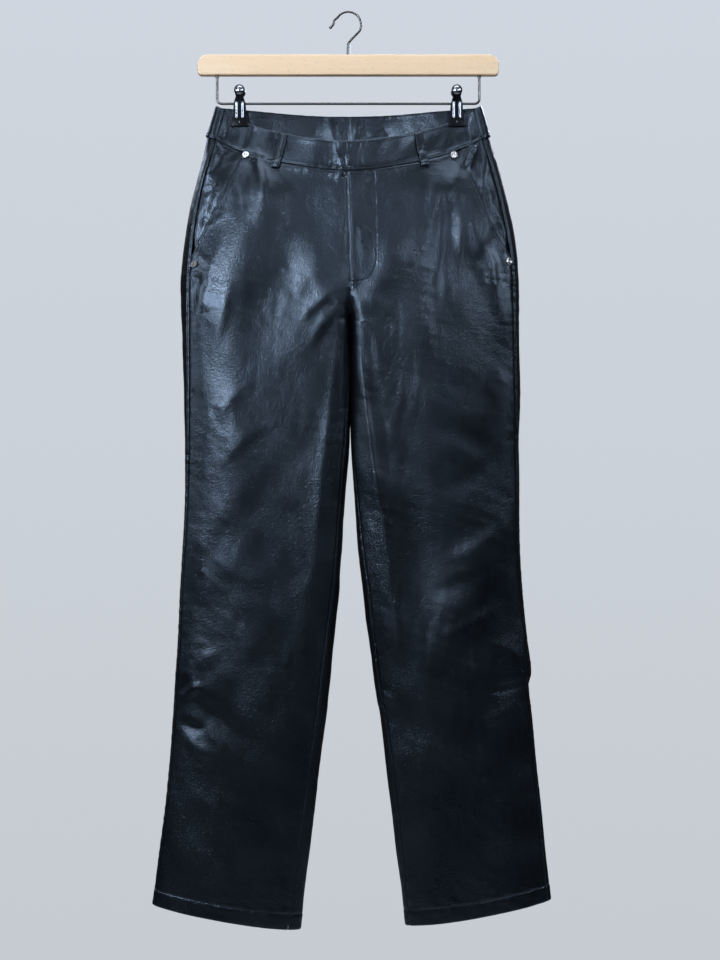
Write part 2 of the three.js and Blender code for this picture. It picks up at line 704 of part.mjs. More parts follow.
// Clips: two sprung leaves with rubber boots, on a barrel that slides along the rail

// How far a leaf's middle stands from the plane of the rail at a height
const LEAF_STAND = table(["z", "y"], [[-90, 10.6], [-99, 9.4], [-109, 6.9], [-116, 5.6], [-134.2, 5.2]]);

function clipLeaf(side, face) {
  const c = CLIP;
  const outline = new THREE.Shape();
  const rightSide = [
    [c.leafFoot / 2, c.padTop + SEAM_GAP], [c.leafShoulder / 2, c.shoulderZ], [c.neck / 2, c.neckZ],
  ];
  outline.moveTo(...rightSide[0]);
  rightSide.slice(1).forEach(([x, z]) => outline.lineTo(x, z));
  outline.absarc(0, c.knobZ, c.knobRadius, -0.95, Math.PI + 0.95, false);
  [...rightSide].reverse().forEach(([x, z]) => outline.lineTo(-x, z));
  const plain = { depth: c.leaf, bevelEnabled: false, curveSegments: 12 };
  const plate = new THREE.ExtrudeGeometry(outline, plain);
  standUp(plate).translate(0, c.leaf / 2, 0);
  const ribs = [-1, 1].map((sign) => {
    const foot = new THREE.Vector3(sign * c.ribX, -0.3, c.padTop + 2);
    const head = new THREE.Vector3(sign * c.ribX, -0.3, c.shoulderZ - 1);
    return union(
      cylinderBetween(foot, head, c.ribRadius, 8),
      new THREE.SphereGeometry(c.ribRadius, 8, 6).translate(...head.toArray()));
  });
  const dome = new THREE.SphereGeometry(c.knobRadius * 0.88, 14, 8);
  dome.scale(1, c.knobRise / (c.knobRadius * 0.88), 1).translate(0, -0.2, c.knobZ);
  const cutBack = new THREE.BoxGeometry(40, 20, 80).translate(0, 10 + c.leaf / 2, -115);
  const raised = solidOf(union(plate, ...ribs, dome)).subtract(solidOf(cutBack));
  const geometry = geometryOf(raised);
  const place = geometry.attributes.position;
  for (let i = 0; i < place.count; i += 1) {
    place.setY(i, place.getY(i) - LEAF_STAND.y(place.getZ(i)));
  }
  if (face === "back") geometry.rotateZ(Math.PI);
  geometry.translate(signOf(side) * CLIP_X, 0, 0);
  return node(`clip_${side}_leaf_${face}`, geometry, STEEL);
}

// How far out the cloth reaches under a pad
function gripDepth(side, face, pieces) {
  const sign = face === "front" ? -1 : 1;
  let depth = 0;
  for (const across of [-1, -0.5, 0, 0.5, 1]) {
    for (const z of [CLIP.padTop, CLIP.padTop - 4, CLIP.padBottom + 4, CLIP.padBottom]) {
      const x = signOf(side) * CLIP_X + (across * CLIP.padWide) / 2;
      depth = Math.max(depth, sign * outside(pieces, face, x, z));
    }
  }
  return depth;
}

function clipPad(side, face, pieces) {
  const c = CLIP;
  const round = 1.2;
  const shape = new THREE.Shape();
  shape.moveTo(-c.padWide / 2 + round, c.padBottom);
  shape.lineTo(c.padWide / 2 - round, c.padBottom);
  shape.quadraticCurveTo(c.padWide / 2, c.padBottom, c.padWide / 2 - 0.1, c.padBottom + round);
  shape.lineTo(c.padNarrow / 2, c.padTop);
  shape.lineTo(-c.padNarrow / 2, c.padTop);
  shape.lineTo(-c.padWide / 2 + 0.1, c.padBottom + round);
  shape.quadraticCurveTo(-c.padWide / 2, c.padBottom, -c.padWide / 2 + round, c.padBottom);
  const plain = { depth: c.padThick, bevelEnabled: false, curveSegments: 3 };
  const geometry = new THREE.ExtrudeGeometry(shape, plain);
  standUp(geometry).translate(0, -gripDepth(side, face, pieces) - SEAM_GAP, 0);
  if (face === "back") geometry.rotateZ(Math.PI);
  geometry.translate(signOf(side) * CLIP_X, 0, 0);
  return node(`clip_${side}_pad_${face}`, geometry, RUBBER);
}

function clipBarrel(side) {
  const bore = RAIL_WIRE.radius + SEAM_GAP;
  const half = CLIP.barrelLength / 2;
  const profile = [[bore, -half], [CLIP.barrel, -half], [CLIP.barrel, half], [bore, half], [bore, -half]];
  const geometry = new THREE.LatheGeometry(profile.map(([r, h]) => new THREE.Vector2(r, h)), 14);
  geometry.rotateZ(-Math.PI / 2).translate(signOf(side) * CLIP_X, 0, RAIL_WIRE.z);
  return node(`clip_${side}_barrel`, geometry, STEEL);
}

const trousers = new THREE.Group();
for (const side of ["left", "right"]) {
  trousers.add(frontPanel(side), backPanel(side), pocketFacing(side), frontBand(side));
}
trousers.add(backBand());
const shell = [...trousers.children];
trousers.add(...LOOPS.map((loop) => beltLoop(loop, shell)), ...RIVETS.map((place) => rivet(place, shell)));

const hanger = new THREE.Group();
hanger.add(hangerBar(), hangerHook(), clipRail());
for (const side of ["left", "right"]) {
  hanger.add(clipBarrel(side));
  for (const face of ["front", "back"]) hanger.add(clipLeaf(side, face), clipPad(side, face, shell));
}

const part = new THREE.Group();
part.add(trousers, hanger);
export default part;
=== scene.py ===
import math
import random

import bmesh
import bpy
import numpy as np
from mathutils import Matrix, Vector
from mathutils.bvhtree import BVHTree


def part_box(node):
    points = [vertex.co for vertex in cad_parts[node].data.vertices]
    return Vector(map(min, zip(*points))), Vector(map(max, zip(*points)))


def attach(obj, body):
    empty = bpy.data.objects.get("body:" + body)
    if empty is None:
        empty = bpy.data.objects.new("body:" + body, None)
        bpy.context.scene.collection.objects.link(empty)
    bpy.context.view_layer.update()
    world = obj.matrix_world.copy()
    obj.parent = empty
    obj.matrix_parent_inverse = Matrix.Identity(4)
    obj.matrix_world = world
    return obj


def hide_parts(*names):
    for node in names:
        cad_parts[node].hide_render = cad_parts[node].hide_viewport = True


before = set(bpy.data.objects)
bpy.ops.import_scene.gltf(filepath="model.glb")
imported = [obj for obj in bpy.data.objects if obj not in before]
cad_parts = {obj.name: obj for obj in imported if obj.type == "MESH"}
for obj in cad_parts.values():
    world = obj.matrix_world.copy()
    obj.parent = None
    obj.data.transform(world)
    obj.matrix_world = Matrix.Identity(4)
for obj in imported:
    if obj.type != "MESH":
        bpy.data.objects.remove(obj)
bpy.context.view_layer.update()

mm = 0.001  # sizes below are in millimetres, and meshes are in metres
dice = random.Random(7)
print("frame loaded")


# Tables and small helpers

def records(columns, rows):
    return [dict(zip(columns, row)) for row in rows]


# cubic through the rows of a table, level past its ends
def smoothThrough(knots, values, at):
    at = np.clip(at, knots[0], knots[-1])
    i = np.clip(np.searchsorted(knots, at) - 1, 0, len(knots) - 2)
    before = np.maximum(np.arange(len(knots)) - 1, 0)
    after = np.minimum(np.arange(len(knots)) + 1, len(knots) - 1)
    slopes = (values[after] - values[before]) / (knots[after] - knots[before])
    span = knots[i + 1] - knots[i]
    u = (at - knots[i]) / span
    return ((2 * u**3 - 3 * u**2 + 1) * values[i] + (u**3 - 2 * u**2 + u) * span * slopes[i]
            + (3 * u**2 - 2 * u**3) * values[i + 1] + (u**3 - u**2) * span * slopes[i + 1])


def curveTable(columns, rows):
    data = np.array(rows, float)
    return {name: (lambda z, c=c: smoothThrough(-data[:, 0], data[:, c], -np.asarray(z, float)))
            for c, name in enumerate(columns) if c}


def ease(value, start, end):  # 0 before start, 1 after end, smooth between
    t = np.clip((np.asarray(value, float) - start) / (end - start), 0, 1)
    return t * t * (3 - 2 * t)


def mix(a, b, t):
    return a + (b - a) * t


# The cut and hang of the cloth, from the front; the same sizes as the solids

garment = {
    "waistZ": -158.7, "frontDrop": 47.5, "backDrop": 9.5, "dropPower": 1.75, "dropEnds": (-170, -375),
    "crotch": (-352, -396.8), "crotchRise": 62, "hemHeight": 21, "hemPower": 1.45, "hemRowsFrom": -820,
    "hem": {"left": (-1140.5, 31.2), "right": (-1133.8, 32.7)},
    "edgePower": 2.8, "depthPower": 2.2, "seamGap": 0.1, "wall": 1.3,
    "bandHeight": 37.5, "bandWall": 2.3, "bandProud": 0.4,
    "clipX": 138.7, "pinchFlat": 13, "pinchInner": 100, "pinchOuter": 42, "pinchZ": (-147, -240),
    "pinchHalf": 2.15, "pinchPower": 8,
    "flyUnderlap": 8, "riseOverlap": 0.9, "underlapEnds": (-298, -333), "liftEnds": (-335, -353), "flyShoulder": (8, 32),
}
outline = curveTable(("z", "left", "right"), [
    (-112, -164.5, 165.8), (-121, -167.2, 168.4), (-158.7, -179.5, 179.6), (-188, -186.8, 188.5),
    (-219, -194.8, 197.5), (-250, -201.9, 205.2), (-280, -207.6, 211.6), (-311, -211.5, 216.1),
    (-342, -214, 218), (-397, -213.4, 218.9), (-495, -210.4, 219.9), (-557, -208.9, 218.4),
    (-618, -209.2, 218.9), (-680, -211.5, 219.6), (-741, -215.3, 223.1), (-803, -217.9, 229.2),
    (-843, -220.7, 234), (-859, -221.5, 231), (-895, -223.6, 234.8), (-956, -228.1, 240.6),
    (-1018, -234.5, 247), (-1079, -242.4, 253.2), (-1140, -249.9, 260), (-1180, -254, 264.5),
])
inner = curveTable(("z", "left", "right"), [
    (-112, -2.75, -2.45), (-165, -2.45, -2.15), (-206, -1.15, -0.85), (-255, 0.85, 1.15),
    (-300, 2.25, 2.55), (-352, 2.85, 2.95), (-397, 3.5, 2.3), (-434, 3.7, 2.1), (-495, 3.6, 2.2),
    (-540, 2.9, 2.8), (-570, 0.7, 4.0), (-600, -1.6, 6.2), (-640, -5, 9.2), (-680, -7.6, 11.8), (-741, -11.8, 18.4), (-803, -18.2, 26.1),
    (-880, -25.5, 36.5), (-895, -27.1, 39.8), (-956, -35.5, 47.1), (-1018, -42.5, 54.8),
    (-1079, -50.2, 62.5), (-1140, -57.5, 70.1), (-1180, -62.3, 75.1),
])
seams = curveTable(("z", "sideLeft", "sideRight", "inLeft", "inRight"), [
    (-121, 11, 9, 0, 0), (-159, 12, 9.7, 0, 0), (-220, 9.5, 9.6, 0, 0), (-280, 11.4, 10, 0, 0),
    (-342, 12.4, 8.4, 0, 0), (-397, 11, 8, 0, 0), (-495, 7.7, 6.5, 4.5, 1.2), (-557, 5, 4.5, 7, 2),
    (-680, 2.6, 2.6, 7.6, 6.4), (-741, 2.4, 2.2, 9.2, 8.6), (-870, 2.2, 2.4, 12.6, 7),
    (-956, 2.2, 3.6, 13.2, 9), (-1079, 2.2, 5.6, 15.6, 7.9), (-1180, 2.2, 7, 15.8, 4.2),
])
fullness = curveTable(("z", "front", "back"), [
    (-121, 25, 13), (-165, 27, 14), (-206, 29, 17), (-260, 32, 22), (-320, 34, 26), (-397, 33, 26),
    (-495, 29, 23), (-618, 25, 20), (-741, 22, 18), (-865, 21, 17), (-1000, 19, 16), (-1180, 17.5, 15),
])
innerRound = curveTable(("z", "share"), [  # how far across the leg rounds in to its inner edge
    (-300, 0.07), (-397, 0.075), (-470, 0.12), (-600, 0.2), (-750, 0.34), (-900, 0.5),
])
pocketMouth = {
    "left": curveTable(("z", "x"), [(-160, -127.5), (-183, -136.1), (-245.5, -165.4), (-316, -200.2)]),
    "right": curveTable(("z", "x"), [(-160, 127), (-183, 138.6), (-208, 154.6), (-273, 182), (-312, 206.3)]),
}
facing = {"underlap": 12, "low": -306, "under": 2.9, "open": 0.8, "rise": (3, 16)}

# The largest folds are in the solids too: ridges above 0, troughs below; lengths and widths are half sizes
folds = records(("face", "x", "z", "turn", "length", "width", "height"), [
    ("front", -112, -232, 100, 48, 12, 3), ("front", -138, -300, 70, 95, 24, 4),
    ("front", -176, -262, 66, 60, 14, -2.5), ("front", -92, -350, 66, 110, 30, -3),
    ("front", -40, -330, 122, 70, 22, 2.5), ("front", 48, -330, 60, 70, 22, 2.5),
    ("front", 112, -242, 80, 52, 12, 3), ("front", 166, -262, 62, 42, 15, 3.2),
    ("front", 150, -330, 115, 95, 22, -3), ("front", 186, -352, 108, 60, 10, 2.6),
    ("front", 96, -430, 110, 130, 34, 2.6), ("front", -150, -520, 84, 140, 32, 2.6),
    ("front", 150, -742, 62, 110, 28, 3), ("front", 85, -690, 100, 150, 26, -2.6),
    ("front", -176, -890, 135, 46, 14, -3.4), ("front", -196, -862, 130, 40, 14, 2.6),
    ("front", -120, -800, 95, 160, 36, 2.2), ("front", 130, -960, 95, 140, 36, 2.2),
    ("back", -100, -330, 60, 80, 22, 3), ("back", 100, -330, 120, 80, 22, 3),
    ("back", -120, -420, 35, 80, 20, -3), ("back", 120, -420, 145, 80, 20, -3),
    ("back", -130, -830, 20, 70, 20, -3), ("back", 140, -830, 160, 70, 20, -3),
    ("back", -125, -620, 90, 150, 34, 2.4), ("back", 125, -620, 90, 150, 34, 2.4),
])

# Smaller creases, each from one end to the other; bend is the sideways bow of the middle
creases = records(("face", "x0", "z0", "x1", "z1", "bend", "width", "height"), [
    # pulls from the clips down the hips
    ("front pull", -122, -134, -136, -182, 1, 3.6, 2.0), ("front pull", -121, -164, -104, -250, -3, 6, 3.2),
    ("front pull", -114, -196, -76, -304, -5, 11, 2.4),
    ("front pull", -149, -150, -154, -182, 1, 4, 0.9), ("front", -104, -196, -74, -258, -3, 6, 0.9),
    ("front", -146, -196, -134, -280, -3, 9, -2.0),
    ("front pull", 127, -146, 117, -186, -2, 5, 1.2), ("front pull", 146, -190, 124, -268, 4, 7, 2.0),
    ("front pull", 150, -150, 157, -180, 1, 4, 1.0),
    # folds beside the slanted pockets
    ("front pull", -156, -166, -188, -240, 6, 7, 2.2), ("front", -190, -233, -158, -222, 2, 3.2, -1.4),
    ("front", -192, -262, -164, -268, 3, 4, -1.1), ("front", -180, -280, -152, -262, -3, 4, 1.0),
    ("front", -196, -300, -168, -330, 3, 4.5, 1.3), ("front", -204, -318, -172, -340, 2, 4, 1.2),
    ("front", -200, -334, -178, -348, 2, 4, -1.0), ("front", -198, -352, -166, -384, 3, 6, 1.1),
    ("front pull", 162, -160, 141, -204, -1, 3, 2.6), ("front pull", 168, -163, 147, -211, -1, 2.6, -3.8),
    ("front pull", 180, -156, 167, -240, -2, 7, 2.8), ("front", 200, -240, 158, -324, 2, 11, 3.0),
    ("front", 172, -214, 180, -262, -4, 5, 1.0), ("front", 190, -284, 206, -366, -5, 5, 1.8),
    ("front", 176, -300, 186, -372, -3, 7, 1.2), ("front", 200, -330, 208, -420, -3, 4, 1.1),
    ("front", 184, -250, 200, -282, -2, 4, 1.0),
    # the crease beside the waistband's closure
    ("front", -20, -150, -19, -216, 0, 2.0, -1.6), ("front", -11.6, -154, -10, -180, 0.5, 1.7, 1.2),
    ("front", -13, -180, -6, -204, 0.5, 2.1, 1.7), ("front", -14, -220, -4, -196, 0, 2.2, 1.5),
    ("front", 0.5, -153, 8, -171, -0.5, 1.7, 1.0), ("front", -0.8, -180, 0, -204, 0, 1.6, 1.0),
    ("front", 1, -194, 4, -214, 0, 1.8, 1.0),
    # the hip's broad shine on the left, and what breaks it
    ("front", -150, -270, -196, -450, 9, 13, 2.4), ("front", -172, -300, -204, -420, 6, 7, -1.4),
    ("front", -140, -330, -170, -452, 5, 9, 1.2), ("front", -112, -280, -136, -420, 4, 12, 1.0),
    # the fly and crotch
    ("front", 10, -262, 12, -344, 2, 8, -1.0), ("front", 2, -214, 16, -232, -2, 4, 0.8),
    ("front", -8, -352, -64, -404, 5, 8, 1.1), ("front", -6, -372, -52, -440, 5, 7, 1.0),
    ("front", 12, -356, 66, -404, -5, 8, 1.0), ("front", 10, -372, 48, -470, -6, 7, 0.9),
    ("front", 3, -384, 58, -735, 0, 6, 1.9), ("front", 12, -410, 34, -600, -1, 5, 1.1),
    ("front", 48, -690, 66, -860, -3, 9, 1.0), ("front", -10, -420, -44, -765, 5, 7, 1.6),
    ("front", -40, -680, -56, -840, 4, 10, 1.0), ("front", 26, -420, 60, -640, -2, 9, -0.9),
    # thighs
    ("front", 142, -190, 146, -400, 1, 6, 1.5), ("front", 120, -200, 110, -430, 2, 11, -2.2),
    ("front", 178, -420, 170, -560, 3, 12, 1.2), ("front", -190, -470, -176, -590, -4, 12, 1.0),
    ("front", -120, -470, -176, -540, 6, 9, 0.8), ("front", -92, -520, -168, -590, 7, 9, 0.8),
    ("front", 96, -540, 190, -600, -8, 14, 1.3), ("front", 110, -610, 200, -560, 8, 12, -1.0),
    # knees
    ("front", -220, -884, -182, -856, -4, 6, 2.0), ("front", -222, -900, -176, -914, 4, 7, -2.2),
    ("front", -214, -918, -160, -950, 5, 8, 1.6), ("front", -200, -842, -150, -808, -5, 8, 1.0),
    ("front", 228, -838, 176, -800, 6, 8, 1.7), ("front", 230, -852, 170, -866, -5, 7, -1.8),
    ("front", 226, -872, 160, -910, -6, 9, 1.4), ("front", 120, -700, 196, -650, 8, 12, 1.6),
    ("front", 96, -740, 190, -700, 9, 12, -1.2), ("front", 34, -866, 66, -890, -3, 5, 1.2),
    ("front", 100, -800, 200, -748, 9, 11, 1.1), ("front", -90, -730, -180, -690, -8, 12, 0.9),
    # shins
    ("front", -208, -980, -150, -1030, 6, 12, 1.1), ("front", 90, -930, 190, -985, -8, 14, 1.0),
    ("front", -110, -1000, -210, -960, -8, 13, -0.8), ("front", 220, -940, 150, -1000, 7, 12, 0.9),
    # inside of the back waistband, gathered above the fly
    ("band", -27, -128, -9, -180, 1, 7.5, -3.2), ("band", -18, -134, -14, -158, 0, 1.7, -0.9),
    ("band", 13, -132, 7, -176, 0, 4, -1.9), ("band", 2, -130, -1, -174, 1, 3.2, 1.2),
    ("band", 6, -142, 22, -174, 2, 3.5, 0.9),
    ("band", 26, -142, 44, -166, 3, 4, -0.9), ("band", 40, -140, 66, -160, 3, 5, 0.8),
    ("band", -40, -142, -60, -166, -3, 5, 0.7),
    # seat and the backs of the thighs, like those in front
    ("back", -128, -160, -108, -250, 4, 8, 1.7), ("back", 126, -162, 112, -246, -4, 8, 1.6),
    ("back", -8, -330, -70, -392, 6, 9, 1.6), ("back", 10, -336, 66, -388, -6, 9, 1.5),
    ("back", -10, -362, -90, -446, 8, 9, 1.5), ("back", 12, -366, 84, -452, -8, 9, 1.4),
    ("back", -8, -386, -56, -520, 6, 8, 1.2), ("back", 10, -390, 52, -512, -6, 8, 1.2),
    ("back", -190, -330, -120, -392, -7, 10, 1.2), ("back", 194, -324, 120, -388, 7, 10, 1.3),
    ("back", -176, -250, -196, -350, 4, 9, 1.3), ("back", 180, -250, 200, -356, -4, 9, 1.2),
    ("back", -60, -240, -40, -320, 3, 14, 1.0), ("back", 58, -236, 42, -316, -3, 14, 1.0),
    # backs of the knees, where the leather creases most
    ("back", -214, -820, -110, -842, 7, 8, 2.2), ("back", -210, -846, -96, -868, 8, 8, -2.0),
    ("back", -214, -874, -120, -884, 6, 7, 1.7), ("back", -150, -792, -60, -822, 7, 9, 1.4),
    ("back", 222, -808, 116, -836, -7, 8, 2.1), ("back", 226, -838, 104, -856, -8, 8, -1.9),
    ("back", 224, -866, 128, -880, -6, 7, 1.6), ("back", 150, -790, 60, -818, -7, 9, 1.3),
    ("back", -130, -470, -160, -640, 6, 14, 1.3), ("back", 128, -470, 166, -640, -6, 14, 1.3),
    ("back", -200, -980, -110, -1030, 8, 13, 1.1), ("back", 204, -960, 120, -1020, -8, 13, 1.1),
])


def signOf(side):
    return -1 if side == "left" else 1


def joinShare(z):  # 1 where front and back meet across the middle, 0 where the legs are tubes
    start, end = garment["crotch"]
    t = np.clip((z - start) / (end - start), 0, 1)
    return np.sqrt(1 - t * t)


def pinchShare(x, z):
    away = np.abs(x) - garment["clipX"]
    reach = np.where(away > 0, garment["pinchOuter"], garment["pinchInner"])
    near = 1 - ease((np.abs(away) - garment["pinchFlat"]) / (reach - garment["pinchFlat"]), 0, 1)
    return near * (1 - ease(z, *garment["pinchZ"]))


def foldHeight(face, x, z):
    total = np.zeros_like(x)
    for fold in folds:
        if fold["face"] != face:
            continue
        turn = math.radians(fold["turn"])
        dx, dz = x - fold["x"], z - fold["z"]
        along = (dx * math.cos(turn) + dz * math.sin(turn)) / fold["length"]
        across = (dz * math.cos(turn) - dx * math.sin(turn)) / fold["width"]
        total += fold["height"] * np.exp(-along * along - across * across)
    return total


# creases of one face: thin out to their ends, and are steeper on one flank than on the other
def creaseHeight(face, x, z):
    total = np.zeros_like(x)
    for crease in creases:
        if crease["face"] != face:
            continue
        dx, dz = crease["x1"] - crease["x0"], crease["z1"] - crease["z0"]
        length = math.hypot(dx, dz)
        along = ((x - crease["x0"]) * dx + (z - crease["z0"]) * dz) / length**2
        across = ((x - crease["x0"]) * dz - (z - crease["z0"]) * dx) / length
        held = np.clip(along, 0, 1)
        taper = ease(held, 0, 0.42) * (1 - ease(held, 0.58, 1))
        off = across - crease["bend"] * 4 * held * (1 - held)
        width = crease["width"] * (0.55 + 0.45 * taper) * np.where(off > 0, 1.25, 0.8)
        total += crease["height"] * taper * np.exp(-(off / width) ** 2)
    return total


# smooth unevenness made of crossing waves; lean and spread set the way they run
def waveField(x, z, seed, shortest, longest, lean=0.0, spread=3.2, count=22):
    draw = random.Random(seed)
    total = np.zeros_like(x)
    for _ in range(count):
        k = 2 * math.pi / draw.uniform(shortest, longest)
        turn = lean + draw.uniform(-spread / 2, spread / 2)
        total += np.cos(k * (x * math.cos(turn) + z * math.sin(turn)) + draw.uniform(0, 6.3))
    return total / math.sqrt(count)


def bulge(s, across, depth):
    return np.maximum(0, 1 - np.abs(2 * s - 1) ** across) ** (1 / depth)


# points of the garment's outside at share s across one side, in millimetres
def surface(side, face, s, z, inset=0.0, lift=0.0, creased=True):
    s, z = np.broadcast_arrays(np.asarray(s, float), np.asarray(z, float))
    sign = signOf(side)
    join = joinShare(z)
    inX = inner[side](z) + sign * inset * (1 - join)
    outX = outline[side](z) - sign * inset
    x = inX + (outX - inX) * s
    within = np.clip(s, 0, 1)
    above = np.maximum(0, z - garment["crotch"][1]) / garment["crotchRise"]
    fromSlit = np.where(within < 0.5, np.minimum(0.5, 0.5 * np.hypot(within / innerRound["share"](z), above)), within)
    share = bulge(fromSlit, garment["edgePower"], garment["depthPower"])
    full = (fullness[face](z) - inset) * share
    power = garment["pinchPower"]
    flat = (garment["pinchHalf"] - inset) * bulge(np.maximum(within, 0.5), power, power)
    pinch = pinchShare(x, z)
    relief = foldHeight(face, x, z)
    if creased:
        relief = relief + creaseHeight(face, x, z)
    pulled = creaseHeight(face + " pull", x, z) if creased else 0
    y = mix(full, flat, pinch) + relief * np.minimum(1, share * 1.2) * (1 - pinch) + pulled + lift
    return np.stack([x, -y if face == "front" else y, z], axis=-1)


def turnOf(s):  # place round the leg: 0 at its inner edge, pi at the side, 2 pi back at the inner edge
    return np.arccos(np.clip(1 - 2 * np.asarray(s, float), -1, 1))


def rowHeight(side, face, level, s):
    within = np.clip(s, 0, 1)
    drop = garment["frontDrop"] if face == "front" else garment["backDrop"]
    waist = (1 - within ** garment["dropPower"]) * drop * (1 - ease(level, *garment["dropEnds"]))
    hemZ, hemDrop = garment["hem"][side]
    share = np.clip((level - garment["hemRowsFrom"]) / (hemZ - garment["hemRowsFrom"]), 0, 1.05)
    return level - waist - (1 - within ** garment["hemPower"]) * hemDrop * share**2


# a point at any turn round the leg, on its front, back, or front again past the inner edge
def ringPoint(side, turn, level, inset=0.0, creased=True):
    turn, level = np.broadcast_arrays(np.asarray(turn, float), np.asarray(level, float))
    onBack = (turn > math.pi) & (turn <= 2 * math.pi)
    folded = np.where(onBack, 2 * math.pi - turn, np.mod(turn, 2 * math.pi))
    s = 0.5 * (1 - np.cos(folded))
    front = surface(side, "front", s, rowHeight(side, "front", level, s), inset, 0.0, creased)
    back = surface(side, "back", s, rowHeight(side, "back", level, s), inset, 0.0, creased)
    return np.where(onBack[..., None], back, front)


# share across at which a side's seam lies on the front
def seamShare(side, level, place):
    level = np.asarray(level, float)
    s = np.full_like(level, 0.95 if place == "side" else 0.0)
    column = ("side" if place == "side" else "in") + side.capitalize()
    for _ in range(4):
        z = rowHeight(side, "front", level, s)
        inset = seams[column](z) / np.abs(outline[side](z) - inner[side](z))
        s = 1 - inset if place == "side" else inset * ease(z, *garment["crotch"])
    return s


def shareAtX(side, level, xOf):
    level = np.asarray(level, float)
    low, high = np.full_like(level, -0.2), np.full_like(level, 1.0)
    for _ in range(30):
        middle = (low + high) / 2
        z = rowHeight(side, "front", level, middle)
        x = inner[side](z) + (outline[side](z) - inner[side](z)) * middle
        below = np.abs(x) < np.abs(xOf(z))
        low, high = np.where(below, middle, low), np.where(below, high, middle)
    return (low + high) / 2


def flyLift(x, z):
    return (1 - ease(x - inner["right"](z), *garment["flyShoulder"])) * (1 - ease(z, *garment["liftEnds"]))


# Grids of cloth

edgeSteps = (0, 0.4, 0.9, 1.5, 2.1, 2.6, 3.1, 3.8, 4.8, 6.4)  # columns and rows lie closer beside a seam


# distances from 0 to length with close steps at both ends, and also in a denser stretch if one is given
def spread(length, count, dense=None):
    length = np.asarray(length, float)[..., None]
    ones = np.ones_like(length)
    edge = np.array(edgeSteps)
    first, last = edge, edge[-1]
    if dense:
        start, end, inside = dense
        first = np.concatenate([edge, np.linspace(last, start, 7)[1:-1], np.linspace(start, end, inside)])
        last = end
    middle = mix(last, length - edge[-1], np.linspace(0, 1, count + 2)[1:-1])
    return np.concatenate([first * ones, middle, length - edge[::-1] * ones], axis=-1)


def arcLength(points, axis):
    step = np.linalg.norm(np.diff(points, axis=axis), axis=-1)
    zero = np.zeros_like(np.take(step, [0], axis=axis))
    return np.concatenate([zero, np.cumsum(step, axis=axis)], axis=axis)


def normalsOf(points):
    across = np.gradient(points, axis=1)
    down = np.gradient(points, axis=0)
    n = np.cross(across, down)
    return n / np.maximum(np.linalg.norm(n, axis=-1, keepdims=True), 1e-9)


def outwardNormals(points, outward):
    n = normalsOf(points)
    r, c = points.shape[0] // 2, points.shape[1] // 2
    return n if np.dot(n[r, c], outward) > 0 else -n


# how far the leather stands off its plane at distance d from an edge, along the run of that edge
def seamRelief(d, kind, run, seed):
    draw = random.Random(seed)
    ripple = sum(np.sin(2 * math.pi * run / draw.uniform(5, 22) + draw.uniform(0, 6.3)) for _ in range(6)) / 2.4
    if kind == "seam":  # allowances pressed open below, so a narrow valley with soft shoulders
        return (-0.5 * np.exp(-(d / 0.7) ** 2) + 0.3 * np.exp(-((d - 3.6) / 2.2) ** 2)
                + 0.2 * (1 - ease(d, 8, 11)) + 0.22 * ripple * np.exp(-d / 7))
    if kind == "stitched":  # turned edge, held by a row of stitches in a groove
        return (-0.45 * (1 - ease(d, 0, 1.9)) - 0.5 * np.exp(-(d / 0.45) ** 2) + 0.5 * (1 - ease(d, 3.2, 6.5))
                - 0.7 * np.exp(-((d - 2.6) / 0.7) ** 2) + 0.3 * ripple * np.exp(-d / 8))
    # plain fold, with the faint valley of its hidden edge stitch
    return (-0.6 * np.exp(-(d / 0.65) ** 2) - 0.18 * np.exp(-((d - 2.3) / 0.5) ** 2)
            + 0.3 * (1 - ease(d, 4, 9)) + 0.12 * ripple * np.exp(-d / 6))


# a grid from the operator, its points moved to their places, facing out
def meshFromGrid(name, points, outward, values=None):
    rows, columns = points.shape[:2]
    bm = bmesh.new()
    bmesh.ops.create_grid(bm, x_segments=columns - 1, y_segments=rows - 1, size=1)
    bm.verts.ensure_lookup_table()
    places = [(round((v.co.y + 1) / 2 * (rows - 1)), round((v.co.x + 1) / 2 * (columns - 1))) for v in bm.verts]
    flat = points * mm
    for v, (r, c) in zip(bm.verts, places):
        v.co = flat[r, c]
    bm.normal_update()
    middle = bm.faces[:][len(bm.faces) // 2]
    if middle.normal.dot(Vector(outward)) < 0:
        bmesh.ops.reverse_faces(bm, faces=bm.faces[:])
    mesh = bpy.data.meshes.new(name)
    uvLayer = bm.loops.layers.uv.new("cut")
    across, down = arcLength(points, 1) * mm, arcLength(points, 0) * mm
    for face in bm.faces:
        face.smooth = True
        for loop in face.loops:
            r, c = places[loop.vert.index]
            loop[uvLayer].uv = (across[r, c], down[r, c])
    bm.to_mesh(mesh)
    bm.free()
    order = np.array(places)
    for key, field in (values or {}).items():
        layer = mesh.attributes.new(key, "FLOAT", "POINT")
        layer.data.foreach_set("value", field[order[:, 0], order[:, 1]].astype(np.float32))
    return mesh


def addObject(name, mesh, materials):
    obj = bpy.data.objects.new(name, mesh)
    bpy.context.scene.collection.objects.link(obj)
    for material in materials:
        mesh.materials.append(material)
    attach(obj, "root")
    return obj


def thicken(obj, wall, rim=0.3):
    solid = obj.modifiers.new("wall", "SOLIDIFY")
    solid.thickness = wall * mm
    solid.offset = -1
    solid.use_even_offset = False
    solid.material_offset = 1 if len(obj.data.materials) > 1 else 0
    bevel = obj.modifiers.new("rim", "BEVEL")
    bevel.width = rim * mm
    bevel.segments = 2
    bevel.limit_method = "ANGLE"
    bevel.angle_limit = math.radians(65)
    bevel.use_clamp_overlap = True


